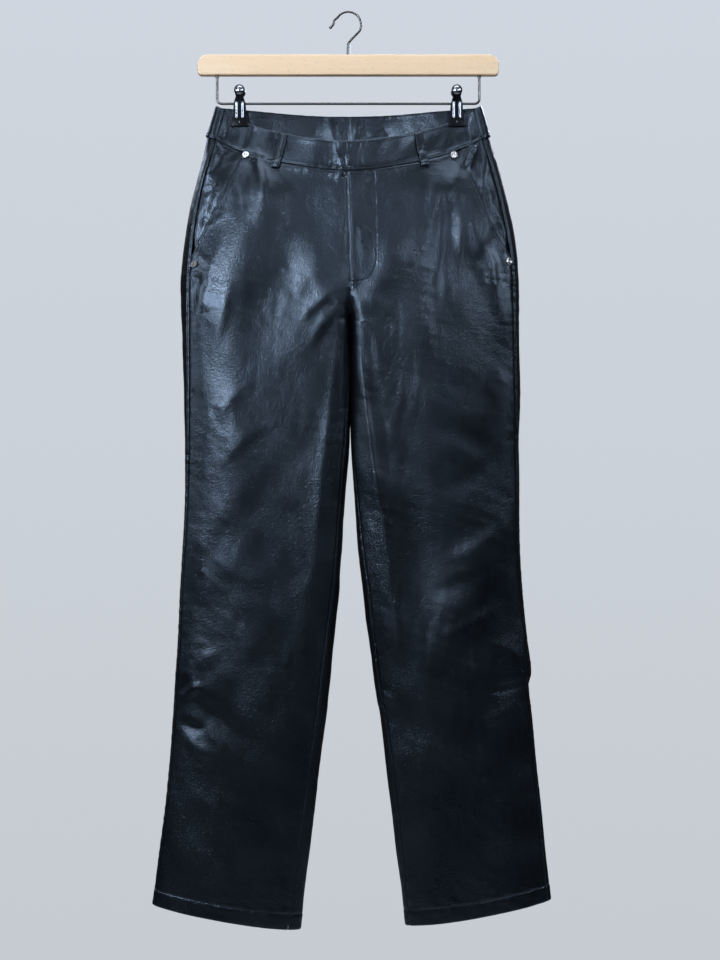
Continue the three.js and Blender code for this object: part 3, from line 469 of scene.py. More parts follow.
# the cut of the piece: its greatest width and length along the leather, and its area
def declareCloth(obj, points):
    width = float(arcLength(points, 1)[:, -1].max() * mm)
    length = float(arcLength(points, 0)[-1, :].max() * mm)
    a, b = points[1:, 1:] - points[:-1, :-1], points[1:, :-1] - points[:-1, 1:]
    area = float(np.linalg.norm(np.cross(a, b), axis=-1).sum() / 2 * mm * mm)
    width = max(width, area / length)
    print(f"{obj.name}: cut {width:.3f} x {length:.3f} m, {area:.4f} m2")



# Materials

def colour(hexText):  # sRGB hex to linear
    parts = [int(hexText[i:i + 2], 16) / 255 for i in (1, 3, 5)]
    return (*[c / 12.92 if c <= 0.04045 else ((c + 0.055) / 1.055) ** 2.4 for c in parts], 1)


# a node with its settings; an input takes a value, or another node's output to link
def addNode(tree, kind, settings=None, inputs=None):
    node = tree.nodes.new(kind)
    for key, value in (settings or {}).items():
        setattr(node, key, value)
    for key, value in (inputs or {}).items():
        if isinstance(value, bpy.types.NodeSocket):
            tree.links.new(value, node.inputs[key])
        else:
            node.inputs[key].default_value = value
    return node


def newMaterial(name):
    material = bpy.data.materials.new(name)
    material.use_nodes = True
    material.node_tree.nodes.clear()
    return material, material.node_tree


def finishMaterial(tree, shader):
    addNode(tree, "ShaderNodeOutputMaterial", None, {"Surface": shader.outputs[0]})


# worn is the lighter colour the edge mask mixes in along edges and seams: rubbed wear, and on the belt loops' edges a
# painted highlight
leatherLook = {
    "base": "#050607", "worn": "#121518", "shine": "#d2eaff", "pebbleMm": 1.7, "pebbleDepthMm": 0.2,
    "grainMm": 2.4, "grainDepthMm": 0.28, "wrinkleMm": 2.8, "wrinkleDepthMm": 0.1, "wrinkleLean": -36,
    "unevenMm": 26, "unevenDepthMm": 0.5, "smoothest": 0.26, "roughest": 0.38, "coat": 0.3, "coatRoughness": 0.18,
}


# Cowhide split with a pressed polyurethane coat: near black, a soft shine broken by fine grain
def coatedLeather():
    look = leatherLook
    material, tree = newMaterial("coated black leather, pressed grain")
    place = addNode(tree, "ShaderNodeTexCoord").outputs["Object"]
    edge = addNode(tree, "ShaderNodeAttribute", {"attribute_name": "edge"}).outputs["Fac"]
    patch = addNode(tree, "ShaderNodeTexNoise", None,
                    {"Vector": place, "Scale": 1 / (80 * mm), "Detail": 3.0, "Roughness": 0.55}).outputs["Fac"]
    # pebbles of the press plate, and between them the finer creasing of the coat
    pebble = addNode(tree, "ShaderNodeTexVoronoi", {"feature": "SMOOTH_F1"},
                     {"Vector": place, "Scale": 1 / (look["pebbleMm"] * mm), "Smoothness": 0.5}).outputs["Distance"]
    grain = addNode(tree, "ShaderNodeTexNoise", None,
                    {"Vector": place, "Scale": 1 / (look["grainMm"] * mm), "Detail": 3.0, "Roughness": 0.6,
                     "Distortion": 0.5}).outputs["Fac"]
    # short crumples that run aslant, stronger in some patches
    turned = addNode(tree, "ShaderNodeMapping", {"vector_type": "TEXTURE"},
                     {"Vector": place, "Rotation": (0, math.radians(look["wrinkleLean"]), 0),
                      "Scale": (2.2, 1, 1)}).outputs[0]
    crumple = addNode(tree, "ShaderNodeTexNoise", {"noise_type": "RIDGED_MULTIFRACTAL"},
                      {"Vector": turned, "Scale": 1 / (look["wrinkleMm"] * mm), "Detail": 3.0, "Roughness": 0.5,
                       "Lacunarity": 2.3, "Offset": 0.9, "Gain": 1.2, "Distortion": 0.9}).outputs["Fac"]
    patchMask = addNode(tree, "ShaderNodeMapRange", {"interpolation_type": "SMOOTHSTEP"},
                        {"Value": patch, "From Min": 0.42, "From Max": 0.64, "To Min": 0.1, "To Max": 1.0}).outputs[0]
    crumpled = addNode(tree, "ShaderNodeMath", {"operation": "MULTIPLY"}, {0: crumple, 1: patchMask}).outputs[0]
    uneven = addNode(tree, "ShaderNodeTexNoise", None,
                     {"Vector": place, "Scale": 1 / (look["unevenMm"] * mm), "Detail": 2.0}).outputs["Fac"]
    normal = None
    for field, depth in ((uneven, look["unevenDepthMm"]), (crumpled, look["wrinkleDepthMm"]),
                         (grain, look["grainDepthMm"]), (pebble, look["pebbleDepthMm"])):
        inputs = {"Strength": 0.8, "Distance": depth * mm, "Height": field}
        if normal:
            inputs["Normal"] = normal
        normal = addNode(tree, "ShaderNodeBump", None, inputs).outputs[0]
    roughness = addNode(tree, "ShaderNodeMapRange", None,
                        {"Value": patch, "From Min": 0.3, "From Max": 0.7, "To Min": look["smoothest"],
                         "To Max": look["roughest"]}).outputs[0]
    # edges and seams mixed towards the worn colour: wear, and painted highlight along the belt loops' edges
    tint = addNode(tree, "ShaderNodeMix", {"data_type": "RGBA"},
                   {"Factor": edge, 6: colour(look["base"]), 7: colour(look["worn"])}).outputs[2]
    shader = addNode(tree, "ShaderNodeBsdfPrincipled", None, {
        "Base Color": tint, "Roughness": roughness, "IOR": 1.5, "Normal": normal,
        "Specular Tint": colour(look["shine"]),
        "Coat Weight": look["coat"], "Coat Roughness": look["coatRoughness"], "Coat IOR": 1.45,
        "Coat Normal": normal})
    finishMaterial(tree, shader)
    return material


# Brushed knit glued behind the coat: matt charcoal with a fine rib
def knitBacking():
    material, tree = newMaterial("charcoal knit backing")
    place = addNode(tree, "ShaderNodeTexCoord").outputs["Object"]
    rib = addNode(tree, "ShaderNodeTexWave", {"bands_direction": "X"},
                  {"Vector": place, "Scale": 1 / (14 * mm), "Distortion": 1.5, "Detail": 2.0}).outputs["Fac"]
    fuzz = addNode(tree, "ShaderNodeTexNoise", None, {"Vector": place, "Scale": 1 / (1.2 * mm)}).outputs["Fac"]
    tint = addNode(tree, "ShaderNodeMix", {"data_type": "RGBA"},
                   {"Factor": fuzz, 6: colour("#1c1e21"), 7: colour("#2c2f33")}).outputs[2]
    bump = addNode(tree, "ShaderNodeBump", None, {"Strength": 0.5, "Distance": 0.2 * mm, "Height": rib}).outputs[0]
    finishMaterial(tree, addNode(tree, "ShaderNodeBsdfPrincipled", None, {
        "Base Color": tint, "Roughness": 0.9, "Sheen Weight": 0.3, "Sheen Roughness": 0.5, "Normal": bump}))
    return material


# Bonded polyester thread: black, with lighter flecks that are painted glints of its faint twisting
def polyesterThread():
    material, tree = newMaterial("black bonded polyester thread")
    place = addNode(tree, "ShaderNodeTexCoord").outputs["Object"]
    twistGlint = addNode(tree, "ShaderNodeTexNoise", None, {"Vector": place, "Scale": 1 / (0.6 * mm)}).outputs["Fac"]
    # the lighter flecks are painted glints
    tint = addNode(tree, "ShaderNodeMix", {"data_type": "RGBA"},
                   {"Factor": twistGlint, 6: colour("#111316"), 7: colour("#292e34")}).outputs[2]
    finishMaterial(tree, addNode(tree, "ShaderNodeBsdfPrincipled", None, {"Base Color": tint, "Roughness": 0.45}))
    return material


# Steamed beech under clear satin lacquer: pale, with short brown flecks and a faint long grain
def beechWood():
    material, tree = newMaterial("lacquered beech")
    place = addNode(tree, "ShaderNodeTexCoord").outputs["Object"]
    long = addNode(tree, "ShaderNodeMapping", None, {"Vector": place, "Scale": (0.06, 1, 1)}).outputs[0]
    grain = addNode(tree, "ShaderNodeTexNoise", None, {"Vector": long, "Scale": 1 / (5 * mm), "Detail": 5.0,
                                                       "Roughness": 0.6, "Distortion": 0.4}).outputs["Fac"]
    fleckPlace = addNode(tree, "ShaderNodeMapping", None, {"Vector": place, "Scale": (0.16, 1, 1)}).outputs[0]
    fleck = addNode(tree, "ShaderNodeTexVoronoi", None,
                    {"Vector": fleckPlace, "Scale": 1 / (1.9 * mm), "Randomness": 1.0}).outputs["Distance"]
    fleckMask = addNode(tree, "ShaderNodeMapRange", None,
                        {"Value": fleck, "From Min": 0.05, "From Max": 0.22, "To Min": 0.55, "To Max": 0.0}).outputs[0]
    base = addNode(tree, "ShaderNodeMix", {"data_type": "RGBA"},
                   {"Factor": grain, 6: colour("#ffdcb3"), 7: colour("#f4c793")}).outputs[2]
    tint = addNode(tree, "ShaderNodeMix", {"data_type": "RGBA"},
                   {"Factor": fleckMask, 6: base, 7: colour("#bd9166")}).outputs[2]
    bump = addNode(tree, "ShaderNodeBump", None, {"Strength": 0.25, "Distance": 0.1 * mm, "Height": grain}).outputs[0]
    finishMaterial(tree, addNode(tree, "ShaderNodeBsdfPrincipled", None, {
        "Base Color": tint, "Roughness": 0.42, "Coat Weight": 0.3, "Coat Roughness": 0.25, "Normal": bump}))
    return material


# Plated steel: the plating is smooth, with faint ripples from the pressing below it
def metal(name, tint, roughness, unevenMm):
    material, tree = newMaterial(name)
    place = addNode(tree, "ShaderNodeTexCoord").outputs["Object"]
    ripple = addNode(tree, "ShaderNodeTexNoise", None, {"Vector": place, "Scale": 1 / (unevenMm * mm)}).outputs["Fac"]
    bump = addNode(tree, "ShaderNodeBump", None, {"Strength": 0.2, "Distance": 0.05 * mm, "Height": ripple}).outputs[0]
    worn = addNode(tree, "ShaderNodeMapRange", None,
                   {"Value": ripple, "To Min": roughness * 0.7, "To Max": roughness * 1.4}).outputs[0]
    finishMaterial(tree, addNode(tree, "ShaderNodeBsdfPrincipled", None, {
        "Base Color": colour(tint), "Metallic": 1.0, "Roughness": worn, "Normal": bump}))
    return material


# Dipped PVC boots on the clip jaws: black, smooth and slightly glossy
def mouldedRubber():
    material, tree = newMaterial("black dipped PVC")
    place = addNode(tree, "ShaderNodeTexCoord").outputs["Object"]
    skin = addNode(tree, "ShaderNodeTexNoise", None, {"Vector": place, "Scale": 1 / (2.5 * mm), "Detail": 3.0}).outputs["Fac"]
    bump = addNode(tree, "ShaderNodeBump", None, {"Strength": 0.3, "Distance": 0.08 * mm, "Height": skin}).outputs[0]
    finishMaterial(tree, addNode(tree, "ShaderNodeBsdfPrincipled", None, {
        "Base Color": colour("#040405"), "Roughness": 0.3, "IOR": 1.27, "Normal": bump}))
    return material


leather, backing, thread = coatedLeather(), knitBacking(), polyesterThread()
beech, pvc = beechWood(), mouldedRubber()
chrome = metal("chromed spring steel", "#a4a4a6", 0.16, 9)
plated = metal("nickel plated wire", "#77736e", 0.24, 9)
# a dark copy of the chrome: painted shade on the clip leaves round their ribs and on the springs
shadedChrome = metal("chromed steel darkened as painted shade", "#1d1f22", 0.3, 6)
nickel = metal("polished nickel", "#cfcac4", 0.16, 2)
tarnished = metal("tarnished nickel", "#6e6a66", 0.3, 1.6)
print("materials made")


# Panels

# levels of the rows: closer at the waist seam, round the crotch and at the hem
def panelRows(side):
    top, hemZ = garment["waistZ"], garment["hem"][side][0]
    stitch = hemZ + garment["hemHeight"] - 1
    edge = np.array(edgeSteps)
    levels = [top - edge, hemZ + edge]
    for start, end, step in ((top - edge[-1], -322, 3.3), (-322, -350, 1.0), (-350, -404, 2.1),
                             (-404, stitch + 3, 3.5), (stitch + 3, stitch - 3, 0.75), (stitch - 3, hemZ + edge[-1], 2.7)):
        levels.append(np.linspace(start, end, max(2, round((start - end) / step)), endpoint=False))
    return -np.sort(-np.concatenate(levels))


# turns that lie at even distances along the leather, closer at both edges, with each one's distance
def placedTurns(pointAt, start, end, level, count, dense=None):
    gap = garment["seamGap"] / 2
    t = np.linspace(0, 1, 500)
    turns = mix(start[:, None], end[:, None], t)
    run = arcLength(pointAt(turns, level[:, None]), 1)
    total = run[:, -1] - 2 * gap
    distance = spread(total, count, dense)
    placed = np.stack([np.interp(d + gap, r, w) for d, r, w in zip(distance, run, turns)])
    return placed, distance, total[:, None] - distance


# adds the seams' relief to a panel and makes its object; kinds gives how much of each edge is not plain seam
def dressPanel(name, points, fromStart, fromEnd, kinds, node):
    down = arcLength(points, 0)
    outward = (0, -1, 0) if name.startswith("front") else (0, 1, 0)
    n = outwardNormals(points, np.array(outward, float))
    run = down[:, points.shape[1] // 2][:, None]
    seed = sum(map(ord, name))
    relief = np.zeros_like(fromStart)
    for distance, (kind, amount), more in ((fromStart, kinds["start"], 0), (fromEnd, kinds["end"], 1)):
        plain = seamRelief(distance, "seam", run, seed + more)
        relief += mix(plain, seamRelief(distance, kind, run, seed + more), np.asarray(amount, float))
    across = arcLength(points, 1)
    relief = relief + seamRelief(down, "seam", across, seed + 2) - 0.5 * np.exp(-(down / 1.1) ** 2)
    # hem: turned up and stitched, so thicker below a shallow groove
    fromHem = down[-1:, :] - down
    stitchAt = garment["hemHeight"] - 1
    relief = relief + 0.45 * (1 - ease(fromHem, stitchAt - 1.2, stitchAt + 1.2))
    relief = relief - 0.55 * np.exp(-((fromHem - stitchAt) / 1.0) ** 2)
    relief = relief - 0.5 * np.exp(-(fromHem / 0.8) ** 2)
    hemWave = waveField(points[..., 0], points[..., 2], seed + 3, 12, 34, 0.0, 0.8)
    relief = relief + 0.22 * hemWave * np.exp(-np.abs(fromHem - stitchAt) / 9)
    # the leather is never quite flat
    broad = waveField(points[..., 0], points[..., 2], seed + 4, 45, 130, 0.3, 2.4)
    fine = waveField(points[..., 0], points[..., 2], seed + 5, 9, 26, 0.5, 2.0)
    patch = 0.5 + 0.5 * np.tanh(waveField(points[..., 0], points[..., 2], seed + 6, 90, 260) * 1.2)
    calm = np.minimum(1, np.minimum(fromStart, fromEnd) / 14)
    relief = relief + calm * (0.42 * broad + 0.15 * fine * (0.25 + patch))
    if name == "frontPanelRight":
        relief = relief + flyRelief(points[..., 0], points[..., 2])
    if name == "frontPanelLeft":
        covered = garment["flyUnderlap"] * (1 - ease(points[..., 2], *garment["underlapEnds"]))
        relief = relief - 1.8 * np.exp(-((fromStart - covered - 1.1) / 1.3) ** 2) * np.minimum(1, covered / 4)
    made = points + n * relief[..., None]
    nearest = np.minimum(np.minimum(fromStart, fromEnd), np.minimum(down, fromHem))
    wearAndSheen = np.exp(-(nearest / 1.1) ** 2) * 0.5 + 0.25 * np.exp(-((nearest - 3.6) / 1.6) ** 2) * patch
    mesh = meshFromGrid(name, made, outward, values={"edge": wearAndSheen})
    obj = addObject(name, mesh, (leather, backing))
    thicken(obj, garment["wall"])
    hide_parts(node)
    return obj, made


flyCurve = np.array([(32.6, -190), (33.6, -215), (34.9, -240), (36, -275), (36.5, -304), (35.4, -320),
                     (32.6, -332), (28.4, -339.8), (22, -344.6), (14.5, -346.8), (3, -347.6)])


def smoothPath(knots, count):
    knots = np.array(knots, float)
    order = np.arange(len(knots), dtype=float)
    t = np.linspace(0, len(knots) - 1, count)
    return np.stack([smoothThrough(order, knots[:, k], t) for k in range(knots.shape[1])], axis=1)


# the zip's shield and the hidden placket lift the leather inside the J, and its stitches sink into it
def flyRelief(x, z):
    line = smoothPath(flyCurve, 160)
    apart = np.hypot(x[..., None] - line[:, 0], z[..., None] - line[:, 1])
    near = apart.argmin(axis=-1)
    away = apart.min(axis=-1)
    ahead = line[np.minimum(near + 1, len(line) - 1)] - line[np.maximum(near - 1, 0)]
    inside = (ahead[..., 0] * (z - line[near, 1]) - ahead[..., 1] * (x - line[near, 0])) < 0
    d = np.where(inside, -away, away)
    bead = 0.14 * (1 - ease(d, -1.2, 1.6)) + 0.1 * np.exp(-((d + 2.6) / 1.4) ** 2)
    return bead - 0.6 * np.exp(-((d - 0.1) / 0.5) ** 2)


def frontPanel(side):
    level = panelRows(side)
    seam = seamShare(side, level, "side")
    mouth = shareAtX(side, level, pocketMouth[side]["x"])
    fold = np.where(level > -318, np.minimum(mouth, seam), seam)
    onMouth = (level > -318) & (mouth < seam)
    inseam = seamShare(side, level, "in")

    def pointAt(turn, levels, creased=False):
        s = 0.5 * (1 - np.cos(turn))
        z = rowHeight(side, "front", levels, s)
        width = np.abs(outline[side](z) - inner[side](z))
        x = inner[side](z) + (outline[side](z) - inner[side](z)) * s
        if side == "left":
            under = garment["flyUnderlap"] * (1 - ease(z, *garment["underlapEnds"]))
            under = np.maximum(under, garment["riseOverlap"] * (1 - ease(z, -385, -398)))
            return surface(side, "front", s - under / width * np.maximum(0, 1 - s / 0.12), z, creased=creased)
        return surface(side, "front", s, z, lift=flyLift(x, z) * (1.4 + garment["seamGap"]), creased=creased)

    dense = (27, 41, 32) if side == "right" else None  # the fly's stitching
    turn, fromStart, fromEnd = placedTurns(pointAt, turnOf(inseam), turnOf(fold), level, 52, dense)
    points = pointAt(turn, level[:, None], True)
    onFly = 1 - ease(level, *garment["liftEnds"]) if side == "right" else 0 * level
    kinds = {"start": ("fold", onFly[:, None]), "end": ("stitched", onMouth[:, None])}
    obj, made = dressPanel(f"frontPanel{side.capitalize()}", points, fromStart, fromEnd, kinds, f"front_panel_{side}")
    return {"obj": obj, "base": points, "made": made, "level": level, "side": side, "onMouth": onMouth}


def backPanel(side):
    level = panelRows(side)
    seam, inseam = seamShare(side, level, "side"), seamShare(side, level, "in")

    def pointAt(turn, levels):
        return ringPoint(side, turn, levels, creased=False)

    end = 2 * math.pi + turnOf(inseam)
    turn, fromStart, fromEnd = placedTurns(pointAt, turnOf(seam), end, level, 70)
    points = ringPoint(side, turn, level[:, None])
    kinds = {"start": ("stitched", 1), "end": ("seam", 1)}
    obj, made = dressPanel(f"backPanel{side.capitalize()}", points, fromStart, fromEnd, kinds, f"back_panel_{side}")
    return {"obj": obj, "base": points, "made": made, "level": level, "side": side}


def pocketFacing(side):
    sign = signOf(side)
    level = panelRows(side)
    level = level[level > facing["low"]]
    start = shareAtX(side, level, lambda z: pocketMouth[side]["x"](z) - sign * facing["underlap"])
    end = seamShare(side, level, "side")
    width = np.abs(outline[side](level) - inner[side](level))
    t = np.linspace(0, 1, 30)
    s = mix(start[:, None], end[:, None] - 0.2 / width[:, None], t)
    z = rowHeight(side, "front", level[:, None], s)
    x = surface(side, "front", s, z, creased=False)[..., 0]
    past = sign * (x - pocketMouth[side]["x"](z))
    depth = mix(facing["under"], facing["open"], ease(past, *facing["rise"]))
    points = surface(side, "front", s, z, inset=depth)
    n = outwardNormals(points, np.array((0, -1.0, 0)))
    fromEnd = arcLength(points, 1)[:, -1:] - arcLength(points, 1)
    relief = seamRelief(fromEnd, "seam", arcLength(points, 0), 31) + seamRelief(arcLength(points, 0), "seam", x, 32)
    relief = relief + 0.2 * waveField(points[..., 0], points[..., 2], 33, 9, 30)
    made = points + n * relief[..., None]
    wearAndSheen = 0.4 * np.exp(-(fromEnd / 1.2) ** 2)
    obj = addObject(f"pocketFacing{side.capitalize()}", meshFromGrid(f"pocketFacing{side}", made, (0, -1, 0),
                    values={"edge": wearAndSheen}), (leather, backing))
    thicken(obj, garment["wall"])
    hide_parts(f"pocket_facing_{side}")
    declareCloth(obj, points)
    return {"obj": obj, "made": made}


# Waistband

def bandRelief(points, seed):
    across, up = arcLength(points, 1), arcLength(points, 0)
    fromTop = up[-1:, :] - up
    relief = seamRelief(up, "stitched", across, seed) + seamRelief(fromTop, "fold", across, seed + 1)
    relief = relief + 0.25 * waveField(points[..., 0], points[..., 2], seed + 2, 14, 60, 0.2, 2.0)
    wearAndSheen = 0.55 * np.exp(-(np.minimum(up, fromTop) / 1.0) ** 2)
    return relief, wearAndSheen


def bandPoints(side, face, s, height, lift=0.0):
    z = rowHeight(side, face, garment["waistZ"], s) + garment["seamGap"] / 2 + height
    points = surface(side, face, s, z, inset=-garment["bandProud"], lift=lift)
    gathers = creaseHeight("band", points[..., 0], points[..., 2])
    if face == "back":
        points[..., 1] += gathers
    return points


def bandHeights():
    return spread(garment["bandHeight"] - garment["seamGap"], 9)[:, None]


def frontBand(side):
    end = turnOf(seamShare(side, np.array([garment["waistZ"]]), "side"))[0]
    t = np.linspace(0, 1, 90) ** 0.98
    s = 0.5 * (1 - np.cos(end * t))[None, :]
    s = s + np.zeros((len(bandHeights()), 1))
    s = np.minimum(s, s[:, -1:] - 0.15 / 180 * (t == 1))
    width = abs(float(outline[side](garment["waistZ"])))
    along = inner["right"](garment["waistZ"]) + s * width
    lift = flyLift(along, garment["waistZ"]) * (2.4 + garment["seamGap"]) if side == "right" else 0.0
    under = garment["flyUnderlap"] / width * np.maximum(0, 1 - s / 0.12) if side == "left" else 0.0
    points = bandPoints(side, "front", s - under, bandHeights(), lift)
    n = outwardNormals(points, np.array((0, -1.0, 0)))
    relief, wearAndSheen = bandRelief(points, 50 + (side == "left"))
    fromStart = arcLength(points, 1)
    fromEnd = fromStart[:, -1:] - fromStart
    relief = relief - 0.4 * np.exp(-(fromStart / 0.5) ** 2) - 0.6 * np.exp(-(fromEnd / 0.9) ** 2)
    wearAndSheen = np.maximum(wearAndSheen, 0.5 * np.exp(-(np.minimum(fromStart, fromEnd) / 1.0) ** 2))
    made = points + n * relief[..., None]
    name = f"waistbandFront{side.capitalize()}"
    obj = addObject(name, meshFromGrid(name, made, (0, -1, 0), values={"edge": wearAndSheen}), (leather,))
    thicken(obj, garment["bandWall"], 0.55)
    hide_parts(f"waistband_front_{side}")
    declareCloth(obj, points)
    return {"obj": obj, "made": made, "base": points}


def backBand():
    heights = bandHeights()
    halves = {}
    for side in ("left", "right"):
        seam = float(turnOf(seamShare(side, np.array([garment["waistZ"]]), "side"))[0])
        turn = np.concatenate([np.linspace(seam + 0.002, math.pi, 12), np.linspace(math.pi, 2 * math.pi, 96)[1:]])
        front = turn <= math.pi
        s = 0.5 * (1 - np.cos(turn))[None, :] + np.zeros((len(heights), 1))
        halves[side] = np.where(front[None, :, None], bandPoints(side, "front", s, heights),
                                bandPoints(side, "back", s, heights))
    points = np.concatenate([halves["left"][:, :-1], halves["right"][:, ::-1]], axis=1)
    n = outwardNormals(points, np.array((0, 1.0, 0)))
    relief, wearAndSheen = bandRelief(points, 60)
    fromStart = arcLength(points, 1)
    fromEnd = fromStart[:, -1:] - fromStart
    nearest = np.minimum(fromStart, fromEnd)
    relief = relief - 0.6 * np.exp(-(nearest / 0.9) ** 2)
    made = points + n * relief[..., None]
    obj = addObject("waistbandBack", meshFromGrid("waistbandBack", made, (0, 1, 0), values={"edge": wearAndSheen}),
                    (leather,))
    thicken(obj, garment["bandWall"], 0.55)
    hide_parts("waistband_back")
    declareCloth(obj, points)
    return {"obj": obj, "made": made, "base": points}


bandBack = backBand()
bandFront = {side: frontBand(side) for side in ("left", "right")}
fronts = {side: frontPanel(side) for side in ("left", "right")}
backs = {side: backPanel(side) for side in ("left", "right")}
facings = {side: pocketFacing(side) for side in ("left", "right")}
for panel in (*fronts.values(), *backs.values()):
    declareCloth(panel["obj"], panel["base"])
print("cloth made")


# Places on the dressed cloth, for what is sewn or fixed to it

def clothTree(pieces):
    points, faces = [], []
    for piece in pieces:
        first = len(points)
        points += [v.co[:] for v in piece.data.vertices]
        faces += [[first + i for i in p.vertices] for p in piece.data.polygons]
    return BVHTree.FromPolygons(points, faces)


cloth = [bandBack["obj"], *[p["obj"] for group in (bandFront, fronts, backs, facings) for p in group.values()]]
shell = clothTree(cloth)


def onCloth(x, z, face="front"):
    sign = -1 if face == "front" else 1
    best = None
    for dx, dz in ((0, 0), (0, 0.5), (0, -0.5), (0.5, 0), (-0.5, 0)):  # a ray may slip through a seam's gap
        start = Vector(((x + dx) * mm, sign * 0.3, (z + dz) * mm))
        hit, normal, _, _ = shell.ray_cast(start, Vector((0, -sign, 0)))
        if hit is not None and (best is None or (hit.y - best[0].y) * sign > 0.5 * mm):
            best = (Vector((x * mm, hit.y, z * mm)), normal if normal.y * sign > 0 else -normal)
    return np.array(best[0]) / mm, np.array(best[1])


# Belt loops

loopLook = {"width": 10.6, "thick": 1.6, "rise": 2.4, "seat": 0.45, "below": 8, "foldUnder": 6.5, "stitchAt": 3.5}
loops = records(("name", "node", "face", "topX", "lowX", "lean", "crumple"), [
    ("FrontLeft", "front_left", "front", -82, -93, 0.3, 0.2), ("FrontRight", "front_right", "front", 90, 98.5, -0.8, 1.1),
    ("BackLeft", "back_left", "back", -84, -88, 0.3, 0.3), ("BackRight", "back_right", "back", 84, 88, -0.2, 0.3),
    ("BackCentre", "back_centre", "back", -0.8, 0.6, 0.1, 0.2),
])


def beltLoop(loop):
    look, half = loopLook, loopLook["width"] / 2
    side = "left" if loop["topX"] + loop["lowX"] < 0 else "right"
    sign = -1 if loop["face"] == "front" else 1
    share = abs((loop["topX"] + loop["lowX"]) / 2) / abs(float(outline[side](garment["waistZ"])))
    seam = float(rowHeight(side, loop["face"], garment["waistZ"], share))
    low, top = seam - look["below"], seam + garment["bandHeight"] - look["below"] / 4
    lean = math.atan2(loop["topX"] - loop["lowX"], top - low)
    rows, columns = np.linspace(0, 1, 44), np.linspace(-1, 1, 19)
    points = np.zeros((len(rows), len(columns), 3))
    for r, t in enumerate(rows):
        up = t * (top - low)
        out = look["seat"] + look["thick"] + math.sin(math.pi * t) ** 0.6 * look["rise"]
        out += 1.1 * (1 - float(ease(up, look["foldUnder"] - 1, look["foldUnder"] + 1.5)))
        dent = math.exp(-((up - 15) / 2.4) ** 2) - 0.8 * math.exp(-((up - 21) / 3.2) ** 2)
        out += loop["crumple"] * (0.9 * dent + 0.5 * math.exp(-((up - 9.5) / 1.8) ** 2))
        sway = loop["lean"] * math.sin(math.pi * t) + 0.7 * loop["crumple"] * dent
        for c, w in enumerate(columns):
            x = mix(loop["lowX"], loop["topX"], t) + w * half * math.cos(lean) + sway
            z = mix(low, top, t) - w * half * math.sin(lean)
            beneath = onCloth(mix(loop["lowX"], loop["topX"], t) + sway, mix(low, top, t), loop["face"])[0][1]
            here = onCloth(x, z, loop["face"])[0][1]
            crown = -0.8 * abs(w) ** 7 - 0.42 * math.exp(-((abs(w) * half - look["stitchAt"]) / 0.65) ** 2)
            crown += 0.3 * loop["crumple"] * math.exp(-((up - 18 - 4 * w) / 1.5) ** 2)
            points[r, c] = (x, mix(beneath, here, 0.7) + sign * (out + crown), z)
    name = f"beltLoop{loop['name']}"
    # both edges of the loop lighter: painted highlight along them, with some wear
    wearAndSheen = np.exp(-((1 - np.abs(columns)) / 0.16) ** 2)[None, :] * np.ones((len(rows), 1)) * 0.7
    obj = addObject(name, meshFromGrid(name, points, (0, sign, 0), values={"edge": wearAndSheen}), (leather,))
    thicken(obj, look["thick"], 0.35)
    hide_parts(f"belt_loop_{loop['node']}")
    declareCloth(obj, points)
    return {"obj": obj, "made": points, "sign": sign}


loopPieces = [beltLoop(loop) for loop in loops]
print("belt loops made")


# Stitches: one small bead of thread each

threadLook = {"pitch": 3.1, "halfLength": 1.15, "halfWidth": 0.36, "halfHeight": 0.3, "proud": 0.08, "uneven": 0.12}


# the line on a grid at a distance from one edge, a place for each row, with its normals
def alongEdge(points, distances, at, outward):
    n = outwardNormals(points, np.array(outward, float))
    line = np.array([[np.interp(at, d, row[:, k]) for k in range(3)] for d, row in zip(distances, points)])
    normals = np.array([[np.interp(at, d, row[:, k]) for k in range(3)] for d, row in zip(distances, n)])
    return line, normals


def sewRow(name, line, normals):
    look = threadLook
    run = np.concatenate([[0], np.cumsum(np.linalg.norm(np.diff(line, axis=0), axis=1))])

    def along(field, d):
        return Vector([np.interp(d, run, field[:, k]) for k in range(3)])

    bm = bmesh.new()
    for i in range(int(run[-1] / look["pitch"])):
        d = (i + 0.5) * look["pitch"] + dice.uniform(-look["uneven"], look["uneven"])
        ahead = (along(line, d + 0.8) - along(line, d - 0.8)).normalized()
        aside = along(normals, d).cross(ahead).normalized()
        out = ahead.cross(aside)
        centre = along(line, d) + out * look["proud"]
        axes = (aside * look["halfWidth"], out * look["halfHeight"], ahead * look["halfLength"])
        place = Matrix.Translation(centre * mm) @ Matrix([a * mm for a in axes]).transposed().to_4x4()
        bmesh.ops.create_uvsphere(bm, u_segments=6, v_segments=4, radius=1, matrix=place)
    for face in bm.faces:
        face.smooth = True
    mesh = bpy.data.meshes.new(name)
    bm.to_mesh(mesh)
    bm.free()
    return addObject(name, mesh, (thread,))


